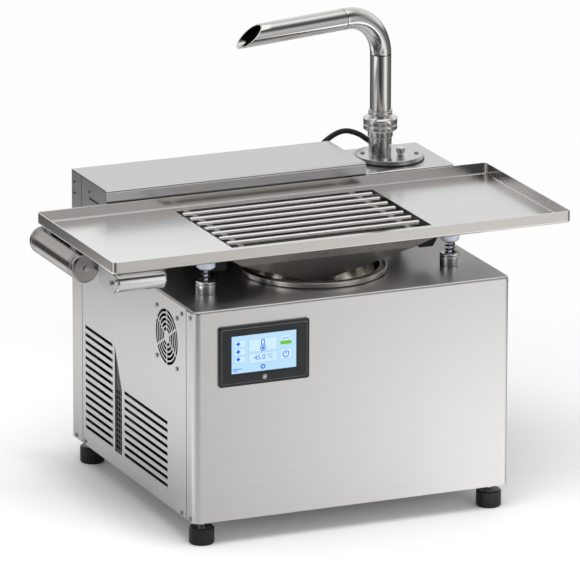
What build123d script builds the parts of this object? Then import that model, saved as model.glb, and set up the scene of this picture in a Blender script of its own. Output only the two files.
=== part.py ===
# Chocolate tempering machine: casing on four feet, heated bowl under a vibrating drip tray,
# auger pump in the tower, and a swivelling spout. Millimetres, +Z up, -Y front.
# Places are written in machine coordinates: x from the casing's middle, y back from its
# front face, z up from the floor. The planes below shift them to the origin.

import os
from math import cos, radians, sin

from build123d import *

os.makedirs("parts", exist_ok=True)

# Casing sheet metal
casing_width = 470.0
casing_depth = 445.0
casing_height = 299.0
foot_height = 34.0
sheet = 1.5
corner_radius = 10.0
bend_radius = 4.0
seam = 1.5
joint_gap = 0.3
overrun = 5.0
front_return = 26.5
rear_return = 36.0
deck_lap = 12.0
pan_flange = 18.0
frame_tube = 18.0
frame_rail = 13.0

# Tower behind the deck
tower_depth = 130.0
tower_rise = 91.0
tower_step = 16.0
step_inset = 78.0
tower_overhang = 57.0
side_box_depth = 62.0

# Cooling slots
slot_pitch = 11.2
slot_height = 5.0
slot_rise = 28.0
rear_slots = 14
front_slots = 9
rear_slot_length = 102.0
front_slot_margin = 94.5
rear_slot_margin = 48.5
wall_slot_length = 147.0
strip_width = 26.0
strip_rear_gap = 7.5
strip_front_gap = 9.5
strip_drop = 5.0
strip_shoulder_height = 95.0
strip_tip_height = 153.0
mesh_thickness = 1.2
mesh_margin = 4.0
mesh_hole = 5.0
mesh_pitch = 8.0
mesh_columns = 3
tower_slot_length = 34.0
tower_slot_margin = 83.0
tower_slots = 3
tower_slot_drop = 26.0

# Cooling fan behind the left panel
fan_size = 80.0
fan_depth = 25.0
fan_bore = 76.0
fan_bolt_spacing = 71.5
fan_y = 96.5
fan_drop = 59.0
fan_hub_radius = 16.0
fan_blade_clearance = 1.5
fan_blades = 7
fan_blade_thickness = 2.0
fan_blade_chord = 17.0
fan_rotor_depth = 17.0
fan_rotor_gap = 1.5
fan_strut_width = 6.0
fan_struts = 4
fan_strut_turn = 45.0
fan_pin_radius = 2.0
fan_blade_pitch = 35.0
guard_rings = 5
guard_radius = 39.0
guard_hub_radius = 7.0
guard_bar = 2.2
guard_spokes = 6
guard_spoke_width = 2.6
guard_turn = 90.0

# Screws
screw_head_radius = 3.2
screw_head_height = 1.6
screw_radius = 1.9
screw_hole_radius = 2.1
screw_length = 3.0
flange_screw_length = 11.0
screw_drop = 9.0
panel_screw_inset = 16.0

# Touch panel
bezel_width = 133.0
bezel_height = 84.5
bezel_inset = 35.5
bezel_drop = 24.45
bezel_radius = 7.0
bezel_proud = 5.0
bezel_step = 2.0
bezel_step_inset = 3.5
window_width = 98.0
window_height = 56.0
window_rise = 1.5
glass_thickness = 4.0
housing_width = 122.0
housing_height = 74.0
housing_depth = 36.0
cutout_clearance = 0.5
button_radius = 4.2
button_rise = 9.75
button_travel = 0.8
button_recess = 0.3

# Feet
foot_radius = 17.5
foot_cup_height = 24.0
foot_edge = 2.0
foot_stud_radius = 5.0
foot_stud_reach = 16.0
foot_nut_radius = 8.5
foot_nut_height = 5.0
foot_socket = 9.0
foot_inset_x = 20.0
foot_inset_y = 22.0

# Bowl under the deck
bowl_y = 140.0
bowl_rim_radius = 102.0
bowl_rim_width = 10.0
bowl_rim_height = 6.5
bowl_depth = 116.0
bowl_floor_radius = 42.0
bowl_wall = 1.5
bowl_gasket = 1.2
deck_hole_clearance = 3.0
bowl_outlet_radius = 11.0
bowl_outlet_offset = 27.0
bowl_outlet_turn = 45.0
bowl_bulge_share = 0.89
bowl_bulge_depth_share = 0.56
heater_radius = 40.0
heater_thickness = 6.0
stirrer_shaft_radius = 5.0
stirrer_hub_radius = 9.0
stirrer_hub_height = 34.0
stirrer_rise = 6.0
stirrer_blades = 3
stirrer_blade_height = 22.0
stirrer_blade_thickness = 2.5
stirrer_blade_tilt = 25.0
stirrer_sweep_share = 0.90
stirrer_gearbox_radius = 34.0
stirrer_gearbox_height = 46.0
stirrer_motor_radius = 29.0
stirrer_motor_drop = 50.0
motor_bore_depth = 14.0
running_clearance = 0.08

# Pump in the tower, and its flange
pump_inset = 31.0
pump_rear_margin = 73.0
barrel_radius = 20.0
barrel_wall = 3.0
barrel_floor = 6.0
barrel_rise = 94.0
port_height = 62.0
port_radius = 11.0
port_wall = 2.0
port_reach = 12.0
pipe_bend_radius = 20.0
auger_shaft_radius = 5.0
auger_pitch = 38.0
auger_turns = 6
auger_flight = 3.0
auger_clearance = 0.6
auger_end_gap = 8.0
gearbox_radius = 26.0
gearbox_height = 34.0
gearmotor_radius = 22.0
flange_offset_x = 18.0
flange_offset_y = 8.0
flange_radius = 48.5
flange_thickness = 6.0
flange_gasket = 1.5
flange_gasket_margin = 1.0
flange_bolt_radius = 38.0
flange_bolts = 4
flange_bolt_turn = -23.0
flange_edge = 0.8

# Riser, union nut and spout
riser_radius = 16.3
riser_bore = 13.5
riser_height = 28.8
riser_collar_radius = 17.7
riser_collar_height = 18.0
nut_radius = 24.0
nut_height = 20.2
nut_lip = 5.5
nut_chamfer = 2.5
nut_clearance = 0.35
spout_radius = 15.0
spout_neck_radius = 15.6
spout_collar_radius = 17.4
spout_collar_height = 9.5
spout_straight = 80.0
elbow_radius = 60.0
elbow_tail = 9.0
spout_reach = 250.5
mouth_set_back = 38.5
spout_yaw = 14.0

# Thumb knob on the flange
knob_offset_x = 9.0
knob_offset_y = -18.0
knob_head_radius = 6.5
knob_neck_radius = 4.6
knob_neck_height = 3.0
knob_head_height = 8.5
knob_pin_radius = 2.5
knob_pin_depth = 4.5
knob_edge = 1.0

# Vibrating drip tray
tray_width = 680.0
tray_front = 30.0
tray_tower_gap = 5.0
tray_rise = 57.0
tray_rim = 17.0
tray_corner = 6.0
tray_fold = 3.0
grille_x = 7.0
grille_width = 298.0
grille_front_margin = 58.0
grille_back_margin = 20.0
lip_drop = 10.0
ledge_width = 9.0
rod_radius = 3.5
rod_count = 7
rod_margin = 21.5
rod_side_gap = 1.5
rod_right_gap = 11.0
rod_weld = 0.8
rod_rise = 1.0
cross_bar_width = 8.0
cross_bar_inset = 14.0

# Drip funnel under the grille
funnel_gap = 3.5
funnel_skirt = 11.5
funnel_fold_drop = 24.0
funnel_fold_inset = 22.0
funnel_fold_lead = 2.0
funnel_fold_depth = 124.0
funnel_mouth_drop = 66.0
funnel_mouth_width = 34.0
funnel_outlet_radius = 14.0
funnel_outlet_drop = 9.0
hanger_depth = 26.0
hanger_front_share = 0.13
hanger_back_share = 0.92
hanger_clearance = 0.5
hanger_reach = 28.0
hanger_taper = 40.0
hanger_foot = 20.0
hanger_drop = 33.0

# Sprung tray posts
post_clearance = 33.0
post_front_margin = 55.0
post_back_margin = 48.0
cup_radius = 14.0
cup_height = 18.0
cup_bore = 8.0
cup_floor = 4.0
cup_groove = 0.8
cup_groove_z = 4.5
puck_radius = 13.0
puck_neck_radius = 11.0
puck_height = 22.0
puck_head_height = 12.0
puck_edge = 2.5
guide_radius = 2.9
guide_reach = 26.0
spring_wire = 2.2
spring_radius = 6.1
spring_turns = 5

# Vibrator under the left rim
vibrator_inset = 8.0
vibrator_drop = 23.0
vibrator_lead_share = 0.42
vibrator_radius = 20.0
vibrator_wall = 2.0
cap_length = 20.0
cap_floor = 8.0
cap_groove = 0.8
cap_edge = 1.2
bearing_radius = 9.0
bearing_length = 7.0
weight_gap = 3.0
shaft_radius = 4.0
weight_radius = 14.5
weight_length = 14.0
bolt_head_radius = 3.6
bolt_head_height = 2.6
bolt_radius = 2.0
bolt_hole_radius = 2.1
bolt_length = 7.0
saddle_width = 18.0
saddle_inset = 26.0
saddle_rise = 4.0

# Hand grip and its bracket
grip_lead = 21.0
grip_drop = 17.0
grip_radius = 14.0
grip_length = 73.0
grip_groove = 0.8
grip_groove_inset = 4.0
bracket_plate = 3.0
bracket_height = 30.0
bracket_bend_lead = 49.0
bracket_side_lead = 21.0

# Condensing unit and electrics
condenser_width = 34.0
condenser_depth = 96.0
condenser_height = 92.0
condenser_fins = 11
condenser_fin_share = 0.35
condenser_header = 6.0
compressor_inset = 85.0
compressor_rear_margin = 105.0
compressor_radius = 48.0
compressor_height = 110.0
compressor_dome = 12.0
switch_rise = 45.0
rocker_radius = 8.0
rocker_width = 22.0
rocker_depth = 3.0
rocker_clearance = 0.6
inlet_inset = 55.0
inlet_rise = 71.0
inlet_width = 48.0
inlet_height = 24.0
inlet_cavity_width = 26.0
inlet_cavity_height = 17.0
inlet_cavity_depth = 20.0
inlet_depth = 26.0
inlet_proud = 2.0
inlet_flange = 3.0
pin_width = 2.0
pin_height = 4.0
pin_spacing = 7.0
pin_length = 12.0

# Lead that loops over the tower's rear edge between two elbow glands
lead_radius = 3.9
lead_left_inset = 92.0
lead_right_offset = 7.0
lead_stand_off = 13.0
gland_drop = 46.0
lead_rise = (12.0, -3.5)
lead_peak = (39.8, 10.6)
lead_fall = (64.0, 3.5)
lead_drop = (81.8, -10.0)
lead_tangent_shares = (0.6, 0.5)
gland_radius = 7.5
gland_stub_radius = 6.0
gland_plate = 3.0
gland_plate_radius = 10.0
gland_rise = 15.0
gland_taper = 2.0
gland_edge = 1.0

# Levels and edges that follow from the sizes above
half_width = casing_width / 2
casing_bottom = foot_height
deck_top = casing_bottom + casing_height
deck_under = deck_top - sheet
tower_front = casing_depth - tower_depth
tower_top = deck_top + tower_rise
pump_top = tower_top - tower_step
overhang_x = half_width + tower_overhang
step_x = half_width - step_inset
rear_wall = casing_depth - sheet
inner_left = -half_width + sheet
inner_right = half_width - sheet

# The slots and the strip follow the rear edge, and the front slots fill what is left
slot_bottom = casing_bottom + slot_rise
rear_slot_y = casing_depth - rear_slot_margin - rear_slot_length / 2
strip_back_y = rear_slot_y - rear_slot_length / 2 - strip_rear_gap
strip_front_y = strip_back_y - strip_width
strip_bottom = slot_bottom - strip_drop
strip_shoulder = strip_bottom + strip_shoulder_height
strip_tip = strip_bottom + strip_tip_height
front_slot_length = strip_front_y - strip_front_gap - front_slot_margin
front_slot_y = front_slot_margin + front_slot_length / 2
tower_slot_y = casing_depth - tower_slot_margin
fan_z = deck_top - fan_drop

# Places on the front and inside
bezel_x = -half_width + bezel_inset + bezel_width / 2
bezel_z = deck_top - bezel_drop - bezel_height / 2
button_z = bezel_z - bezel_height / 2 + button_rise
compressor_x = -half_width + compressor_inset
compressor_y = casing_depth - compressor_rear_margin
inlet_x = -half_width + inlet_inset
inlet_z = casing_bottom + inlet_rise
switch_z = inlet_z + switch_rise

# Bowl
bowl_mouth_radius = bowl_rim_radius - bowl_rim_width
deck_hole_radius = bowl_mouth_radius + deck_hole_clearance

# Pump, flange and knob
pump_x = half_width - pump_inset
pump_y = casing_depth - pump_rear_margin
barrel_bottom = casing_bottom + barrel_rise
flange_x = pump_x + flange_offset_x
flange_y = pump_y + flange_offset_y
knob_x = flange_x + knob_offset_x
knob_y = flange_y + knob_offset_y

# Tray, grille, funnel and posts
tray_half = tray_width / 2
tray_back = tower_front - tray_tower_gap
tray_bottom = deck_top + tray_rise
tray_floor = tray_bottom + sheet
tray_top = tray_bottom + tray_rim
grille_front = tray_front + grille_front_margin
grille_back = tray_back - grille_back_margin
rod_pitch = (grille_back - grille_front - 2 * rod_margin) / (rod_count - 1)
funnel_fold_z = tray_bottom - funnel_fold_drop
funnel_fold_front = grille_front - funnel_fold_lead
funnel_fold_back = funnel_fold_front + funnel_fold_depth
funnel_mouth_z = tray_bottom - funnel_mouth_drop
hanger_front_y = funnel_fold_front + hanger_front_share * funnel_fold_depth
hanger_back_y = funnel_fold_front + hanger_back_share * funnel_fold_depth
hanger_top_x = grille_x + grille_width / 2 + hanger_reach
hanger_foot_x = hanger_top_x - hanger_taper
hanger_low_z = tray_bottom - hanger_drop
post_x = grille_width / 2 + post_clearance
post_front_y = tray_front + post_front_margin
post_back_y = tray_back - post_back_margin

# Vibrator, bracket and grip under the tray's left rim
vibrator_x = -tray_half + vibrator_inset
vibrator_z = tray_bottom - vibrator_drop
vibrator_front = tray_front + vibrator_lead_share * (tray_back - tray_front)
vibrator_back = tray_back
grip_y = tray_front + grip_lead
grip_z = tray_bottom - grip_drop
bracket_bottom = tray_bottom - bracket_height
bracket_bend_y = vibrator_front - bracket_bend_lead
bracket_side_y = vibrator_front - bracket_side_lead

# The lead's glands
lead_left_x = half_width - lead_left_inset
lead_right_x = half_width + lead_right_offset
lead_y = casing_depth + lead_stand_off
gland_z = tower_top - gland_drop

# The origin stands over the middle of the whole footprint
reach_left = vibrator_x - vibrator_radius
reach_right = tray_half
reach_front = -bezel_proud
reach_back = lead_y + gland_radius
origin_x = (reach_left + reach_right) / 2
origin_y = (reach_front + reach_back) / 2


def level(z):
    """Horizontal plane at height z, seen from above."""
    return Plane(origin=(-origin_x, -origin_y, z), x_dir=(1, 0, 0), z_dir=(0, 0, 1))


def facing_front(y):
    """Upright plane across the machine at depth y: local x is x, local y is z."""
    return Plane(origin=(-origin_x, y - origin_y, 0), x_dir=(1, 0, 0), z_dir=(0, -1, 0))


def facing_back(y):
    """The same upright plane seen from behind: local x is -x, local y is z."""
    return Plane(origin=(-origin_x, y - origin_y, 0), x_dir=(-1, 0, 0), z_dir=(0, 1, 0))


def facing_right(x):
    """Upright plane from front to back at x: local x is y, local y is z."""
    return Plane(origin=(x - origin_x, -origin_y, 0), x_dir=(0, 1, 0), z_dir=(1, 0, 0))


def spot(x, y, z):
    """A machine place in the part's own frame."""
    return (x - origin_x, y - origin_y, z)


def upright_axis(x, y):
    """Half plane through a vertical axis at x, y, for turned pieces: local x is the radius."""
    return Plane(origin=spot(x, y, 0), x_dir=(1, 0, 0), z_dir=(0, -1, 0))


def block(x_from, x_to, y_from, y_to, z_from, z_to, mode=Mode.ADD):
    """A straight block between two corners."""
    with BuildSketch(level(z_from)) as base:
        with Locations(((x_from + x_to) / 2, (y_from + y_to) / 2)):
            Rectangle(x_to - x_from, y_to - y_from)
    return extrude(base.sketch, amount=z_to - z_from, mode=mode)


def post(x, y, z_from, z_to, radius, mode=Mode.ADD):
    """A vertical round bar or hole."""
    with BuildSketch(level(z_from)) as base:
        with Locations((x, y)):
            Circle(radius)
    return extrude(base.sketch, amount=z_to - z_from, mode=mode)


def bar(plane, across, up, length, radius, mode=Mode.ADD):
    """A round bar or hole that stands on an upright plane and runs along its normal."""
    with BuildSketch(plane) as base:
        with Locations((across, up)):
            Circle(radius)
    return extrude(base.sketch, amount=length, mode=mode)


def turned(axis_plane, outline, mode=Mode.ADD):
    """A turned body: the closed outline of (radius, height) points, round the plane's local y."""
    with BuildSketch(axis_plane) as half:
        with BuildLine():
            Polyline(*outline, close=True)
        make_face()
    axis = Axis(axis_plane.origin, axis_plane.y_dir)
    return revolve(half.sketch, axis=axis, mode=mode)


def finish(piece, name):
    """Label a finished sub-part and write its file."""
    piece.part.label = name
    export_step(piece.part, f"parts/{name}.step")


# Screw places on the casing's sides, as (y, z)
return_screw_y = front_return / 2
panel_front_y = front_return + seam
panel_back_y = casing_depth - rear_return - seam
rear_screw_y = casing_depth - rear_return / 3
low_screw_z = casing_bottom + screw_drop / 2
high_screw_z = deck_under - screw_drop
front_screws = [(return_screw_y, low_screw_z), (return_screw_y, high_screw_z)]
panel_screws = [
    (panel_front_y + panel_screw_inset, low_screw_z),
    (panel_front_y + panel_screw_inset, high_screw_z - screw_drop / 4),
    (panel_back_y - panel_screw_inset / 2, low_screw_z),
]
tower_screw = (panel_back_y - 2 * panel_screw_inset, tower_top - panel_screw_inset)
rear_low_screw = (rear_screw_y, low_screw_z)
rear_high_screws = [
    (rear_screw_y, tower_top - panel_screw_inset),
    (rear_screw_y, tower_top - 2 * panel_screw_inset),
]
rear_deck_screw = (rear_screw_y, high_screw_z)
side_screws = front_screws + panel_screws + [rear_low_screw, rear_deck_screw]
low_screws = [place for place in side_screws if place[1] == low_screw_z]
fan_screws = [
    (fan_y + fan_bolt_spacing / 2 * side, fan_z + fan_bolt_spacing / 2 * rise)
    for side in (-1, 1)
    for rise in (-1, 1)
]
feet = {
    "foot_front_left": (-half_width + foot_inset_x, foot_inset_y),
    "foot_front_right": (half_width - foot_inset_x, foot_inset_y),
    "foot_rear_left": (-half_width + foot_inset_x, casing_depth - foot_inset_y),
    "foot_rear_right": (half_width - foot_inset_x, casing_depth - foot_inset_y),
}
posts = [(x, y) for x in (-post_x, post_x) for y in (post_front_y, post_back_y)]
module_low = inlet_z - inlet_height / 2
module_high = switch_z + rocker_radius + inlet_flange

# Front shell: front wall with returned sides, folded over into the deck
with BuildPart() as front_shell:
    with BuildSketch(level(casing_bottom)):
        with Locations((0, (tower_front + deck_lap) / 2)):
            Rectangle(casing_width, tower_front + deck_lap)
    extrude(amount=casing_height)
    front_uprights = front_shell.edges().filter_by(Axis.Z).group_by(Axis.Y)[0]
    fillet(front_uprights, radius=corner_radius)
    front_top = front_shell.edges().group_by(Axis.Z)[-1].group_by(Axis.Y)[0]
    fillet(front_top, radius=bend_radius)
    with BuildSketch(level(casing_bottom - overrun)):
        with Locations((0, (tower_front + deck_lap + overrun + sheet) / 2)):
            Rectangle(casing_width - 2 * sheet, tower_front + deck_lap + overrun - sheet)
        front_corners = vertices().group_by(Axis.Y)[0]
        fillet(front_corners, radius=corner_radius - sheet)
    extrude(amount=casing_height + overrun - sheet, mode=Mode.SUBTRACT)
    block(
        -half_width - overrun, half_width + overrun, front_return, casing_depth,
        casing_bottom - overrun, deck_under, mode=Mode.SUBTRACT,
    )
    for x in (-half_width - joint_gap, inner_right - joint_gap):
        block(x, x + sheet + 2 * joint_gap, tower_front, casing_depth, deck_under - overrun,
              deck_top + overrun, mode=Mode.SUBTRACT)
    post(0, bowl_y, deck_under - overrun, deck_top + overrun, deck_hole_radius, Mode.SUBTRACT)
    with BuildSketch(facing_front(sheet + overrun)):
        with Locations((bezel_x, bezel_z)):
            Rectangle(housing_width + 2 * cutout_clearance, housing_height + 2 * cutout_clearance)
    extrude(amount=sheet + 2 * overrun, mode=Mode.SUBTRACT)
    for y, z in front_screws:
        bar(facing_right(-half_width - overrun), y, z, casing_width + 2 * overrun,
            screw_hole_radius, Mode.SUBTRACT)
finish(front_shell, "front_shell")


def side_plate(x, tower_height):
    """A side panel's plate, with its step beside the tower where tower_height isn't zero."""
    high = deck_under - joint_gap
    block(x, x + sheet, panel_front_y, panel_back_y, casing_bottom, high)
    if tower_height:
        block(x, x + sheet, tower_front + sheet + joint_gap, panel_back_y, high, high + tower_height)


def slot_rows(x):
    """Cuts the two groups of cooling slots through the panel at x."""
    groups = [(rear_slot_y, rear_slot_length, rear_slots), (front_slot_y, front_slot_length, front_slots)]
    for centre_y, length, count in groups:
        with BuildSketch(facing_right(x - overrun)) as slots:
            for row in range(count):
                with Locations((centre_y, slot_bottom + row * slot_pitch)):
                    Rectangle(length, slot_height)
        extrude(slots.sketch, amount=sheet + 2 * overrun, mode=Mode.SUBTRACT)


# Left side panel: stepped plate with the fan guard, slots and the pointed vent strip
with BuildPart() as left_panel:
    side_plate(-half_width, tower_rise)
    slot_rows(-half_width)
    with BuildSketch(facing_right(-half_width - overrun)) as strip:
        with BuildLine():
            Polyline(
                (strip_front_y, strip_bottom), (strip_back_y, strip_bottom),
                (strip_back_y, strip_tip), (strip_front_y, strip_shoulder), close=True,
            )
        make_face()
    extrude(strip.sketch, amount=sheet + 2 * overrun, mode=Mode.SUBTRACT)
    with BuildSketch(facing_right(-half_width - overrun)) as tower_vents:
        for row in range(tower_slots):
            with Locations((tower_slot_y, tower_top - tower_slot_drop - row * slot_pitch)):
                Rectangle(tower_slot_length, slot_height / 2)
    extrude(tower_vents.sketch, amount=sheet + 2 * overrun, mode=Mode.SUBTRACT)
    ring_pitch = (guard_radius - guard_hub_radius) / guard_rings
    with BuildSketch(facing_right(-half_width - overrun)) as guard:
        with Locations((fan_y, fan_z)):
            for ring in range(guard_rings):
                outer = guard_radius - ring * ring_pitch
                Circle(outer)
                Circle(outer - ring_pitch + guard_bar, mode=Mode.SUBTRACT)
            with PolarLocations(guard_radius / 2, guard_spokes, start_angle=guard_turn):
                Rectangle(guard_radius + overrun, guard_spoke_width, mode=Mode.SUBTRACT)
    extrude(guard.sketch, amount=sheet + 2 * overrun, mode=Mode.SUBTRACT)
    for y, z in panel_screws + [tower_screw] + fan_screws:
        bar(facing_right(-half_width - overrun), y, z, sheet + 2 * overrun, screw_hole_radius,
            Mode.SUBTRACT)
finish(left_panel, "left_side_panel")

# Right side panel: the same slots under the tower's overhang
with BuildPart() as right_panel:
    side_plate(half_width - sheet, 0)
    slot_rows(half_width - sheet)
    for y, z in panel_screws:
        bar(facing_right(half_width - overrun), y, z, sheet + 2 * overrun, screw_hole_radius,
            Mode.SUBTRACT)
finish(right_panel, "right_side_panel")

# Perforated mesh behind the pointed strip
with BuildPart() as vent_mesh:
    with BuildSketch(facing_right(inner_left)):
        with BuildLine():
            Polyline(
                (strip_front_y - mesh_margin, strip_bottom - mesh_margin),
                (strip_back_y + mesh_margin, strip_bottom - mesh_margin),
                (strip_back_y + mesh_margin, strip_tip + mesh_margin),
                (strip_back_y, strip_tip + mesh_margin),
                (strip_front_y - mesh_margin, strip_shoulder + mesh_margin), close=True,
            )
        make_face()
        mesh_rows = int((strip_shoulder - strip_bottom) / mesh_pitch)
        with Locations(((strip_front_y + strip_back_y) / 2, (strip_shoulder + strip_bottom) / 2)):
            with GridLocations(mesh_pitch, mesh_pitch, mesh_columns, mesh_rows):
                Rectangle(mesh_hole, mesh_hole, mode=Mode.SUBTRACT)
    extrude(amount=mesh_thickness)
finish(vent_mesh, "vent_mesh")

# Rear shell: rear wall with returned sides up to the tower's top
with BuildPart() as rear_shell:
    block(-half_width, half_width, casing_depth - rear_return, casing_depth,
          casing_bottom, tower_top - sheet - joint_gap)
    block(step_x - sheet - joint_gap, half_width + overrun, casing_depth - rear_return - overrun,
          casing_depth + overrun, deck_top, tower_top + overrun, mode=Mode.SUBTRACT)
    block(inner_left, inner_right, casing_depth - rear_return - overrun, rear_wall,
          casing_bottom - overrun, tower_top + overrun, mode=Mode.SUBTRACT)
    for y, z in [rear_low_screw, rear_deck_screw] + rear_high_screws:
        bar(facing_right(-half_width - overrun), y, z, sheet + 2 * overrun, screw_hole_radius,
            Mode.SUBTRACT)
    for y, z in [rear_low_screw, rear_deck_screw]:
        bar(facing_right(half_width - overrun), y, z, sheet + 2 * overrun, screw_hole_radius,
            Mode.SUBTRACT)
    with BuildSketch(facing_front(casing_depth + overrun)) as rear_openings:
        with Locations((inlet_x, (module_low + module_high) / 2)):
            Rectangle(inlet_width + 2 * cutout_clearance,
                      module_high - module_low + 2 * cutout_clearance)
        with Locations((0, slot_bottom + rear_slots / 2 * slot_pitch)):
            with GridLocations(slot_pitch, slot_pitch, 1, rear_slots):
                Rectangle(wall_slot_length, slot_height)
        with Locations((lead_left_x, gland_z)):
            Circle(gland_stub_radius + joint_gap)
    extrude(rear_openings.sketch, amount=sheet + 2 * overrun, mode=Mode.SUBTRACT)
finish(rear_shell, "rear_shell")

# Base pan with turned-up edges, standing on the feet
pan_gap = sheet + joint_gap
with BuildPart() as base_pan:
    block(-half_width + pan_gap, half_width - pan_gap, pan_gap, casing_depth - pan_gap,
          casing_bottom, casing_bottom + pan_flange)
    pan_uprights = base_pan.edges().filter_by(Axis.Z).group_by(Axis.Y)[0]
    fillet(pan_uprights, radius=corner_radius - sheet)
    offset(amount=-sheet, openings=base_pan.faces().sort_by(Axis.Z)[-1])
    for x, y in feet.values():
        post(x, y, casing_bottom - overrun, casing_bottom + sheet + overrun,
             foot_stud_radius + joint_gap, Mode.SUBTRACT)
    for y, z in low_screws:
        bar(facing_right(-half_width), y, z, casing_width, screw_hole_radius, Mode.SUBTRACT)
finish(base_pan, "base_pan")

# Inner frame: six uprights joined by rails, clear of the feet's studs and of the pump
frame_left = inner_left + 2 * pan_gap
frame_right = -frame_left - frame_tube
frame_foot = casing_bottom + sheet
frame_head = deck_under - joint_gap
frame_front = foot_inset_y + foot_stud_radius + seam
frame_middle = tower_front - frame_tube
frame_back = casing_depth - frame_front - frame_tube
with BuildPart() as inner_frame:
    for x in (frame_left, frame_right):
        for y in (frame_front, frame_middle, frame_back):
            block(x, x + frame_tube, y, y + frame_tube, frame_foot, frame_head)
        for z in (frame_foot, frame_head - frame_rail):
            block(x, x + frame_tube, frame_front, frame_middle, z, z + frame_rail)
    for y in (frame_front, frame_middle):
        block(frame_left, -frame_left, y, y + frame_tube / 2, frame_head - frame_rail, frame_head)
    block(frame_left, frame_left + frame_tube, frame_middle, frame_back, frame_foot,
          frame_foot + frame_rail)
    block(frame_left, -frame_left, frame_back, frame_back + frame_tube / 2, frame_foot,
          frame_foot + frame_rail)
finish(inner_frame, "inner_frame")

# Tower cover: top and front wall in one rounded bend, closed by a wall at the step
with BuildPart() as tower_cover:
    block(-half_width, step_x, tower_front, casing_depth, deck_top + joint_gap, tower_top)
    tower_lip = tower_cover.edges().group_by(Axis.Z)[-1].group_by(Axis.Y)[0]
    fillet(tower_lip, radius=bend_radius)
    block(-half_width - overrun, step_x - sheet, tower_front + sheet, casing_depth + overrun,
          deck_top - overrun, tower_top - sheet, mode=Mode.SUBTRACT)
    block(step_x - sheet - overrun, step_x + overrun, rear_wall - joint_gap, casing_depth + overrun,
          deck_top - overrun, tower_top - sheet, mode=Mode.SUBTRACT)
finish(tower_cover, "tower_cover")

# Pump cover: the lower half of the tower, which overhangs the right side
pump_left = step_x + joint_gap
with BuildPart() as pump_cover:
    block(pump_left, overhang_x, tower_front, casing_depth, pump_top - side_box_depth, pump_top)
    pump_lip = pump_cover.edges().group_by(Axis.Z)[-1].group_by(Axis.Y)[0]
    fillet(pump_lip, radius=bend_radius)
    block(pump_left - overrun, overhang_x - sheet, tower_front + sheet, rear_wall,
          pump_top - side_box_depth + sheet, pump_top - sheet, mode=Mode.SUBTRACT)
    block(pump_left - overrun, half_width, tower_front + sheet, rear_wall,
          pump_top - side_box_depth - overrun, pump_top - side_box_depth + sheet + overrun,
          mode=Mode.SUBTRACT)
    for y in (tower_front, rear_wall):
        block(pump_left, half_width, y, y + sheet, deck_top + joint_gap, pump_top - side_box_depth)
    block(half_width - sheet, half_width, tower_front, casing_depth, deck_top + joint_gap,
          pump_top - side_box_depth + sheet)
    post(pump_x, pump_y, pump_top - overrun, pump_top + overrun, barrel_radius + barrel_wall
         + joint_gap, Mode.SUBTRACT)
    with Locations(spot(flange_x, flange_y, pump_top)):
        with PolarLocations(flange_bolt_radius, flange_bolts, start_angle=flange_bolt_turn):
            Cylinder(screw_hole_radius, 2 * overrun, mode=Mode.SUBTRACT)
    bar(facing_front(casing_depth + overrun), lead_right_x, gland_z, sheet + 2 * overrun,
        gland_stub_radius + joint_gap, Mode.SUBTRACT)
finish(pump_cover, "pump_cover")

# Screws of the casing, with the heads outside and the shanks through the sheet
with BuildPart() as casing_screws:
    for y, z in side_screws + [tower_screw] + rear_high_screws + fan_screws:
        bar(facing_right(-half_width - screw_head_height), y, z, screw_head_height, screw_head_radius)
        bar(facing_right(-half_width), y, z, screw_length, screw_radius)
    for y, z in side_screws:
        bar(facing_right(half_width), y, z, screw_head_height, screw_head_radius)
        bar(facing_right(half_width - screw_length), y, z, screw_length, screw_radius)
finish(casing_screws, "casing_screws")


def foot(x, y, name):
    """A levelling foot: a rubber cup with the socket that its stud turns in."""
    cup = [
        (0, 0), (foot_radius - foot_edge, 0), (foot_radius, foot_edge),
        (foot_radius, foot_cup_height - foot_edge), (foot_radius - foot_edge, foot_cup_height),
        (foot_socket_radius, foot_cup_height), (foot_socket_radius, foot_cup_height - foot_socket),
        (0, foot_cup_height - foot_socket),
    ]
    with BuildPart() as body:
        turned(upright_axis(x, y), cup)
    finish(body, name)


foot_socket_radius = foot_stud_radius + running_clearance
for foot_name, (foot_x, foot_y) in feet.items():
    foot(foot_x, foot_y, foot_name)

# Studs of the feet, each with the nut that locks it under the base pan
with BuildPart() as foot_studs:
    for x, y in feet.values():
        post(x, y, foot_cup_height - foot_socket + joint_gap, casing_bottom + foot_stud_reach,
             foot_stud_radius)
        with BuildSketch(level(casing_bottom - foot_nut_height)) as nut:
            with Locations((x, y)):
                RegularPolygon(foot_nut_radius, 6)
        extrude(nut.sketch, amount=foot_nut_height)
finish(foot_studs, "foot_studs")

# Bowl: spun dish with a rolled rim that rests on a gasket round the deck's hole
bowl_rim_low = deck_top + bowl_gasket
bowl_rim_top = bowl_rim_low + bowl_rim_height
bowl_floor = bowl_rim_low - bowl_depth
bowl_axis = upright_axis(0, bowl_y)
with BuildPart() as bowl_gasket_ring:
    post(0, bowl_y, deck_top, bowl_rim_low, bowl_rim_radius - sheet)
    post(0, bowl_y, deck_top - overrun, bowl_rim_low + overrun, deck_hole_radius + joint_gap,
         Mode.SUBTRACT)
finish(bowl_gasket_ring, "bowl_gasket")

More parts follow.
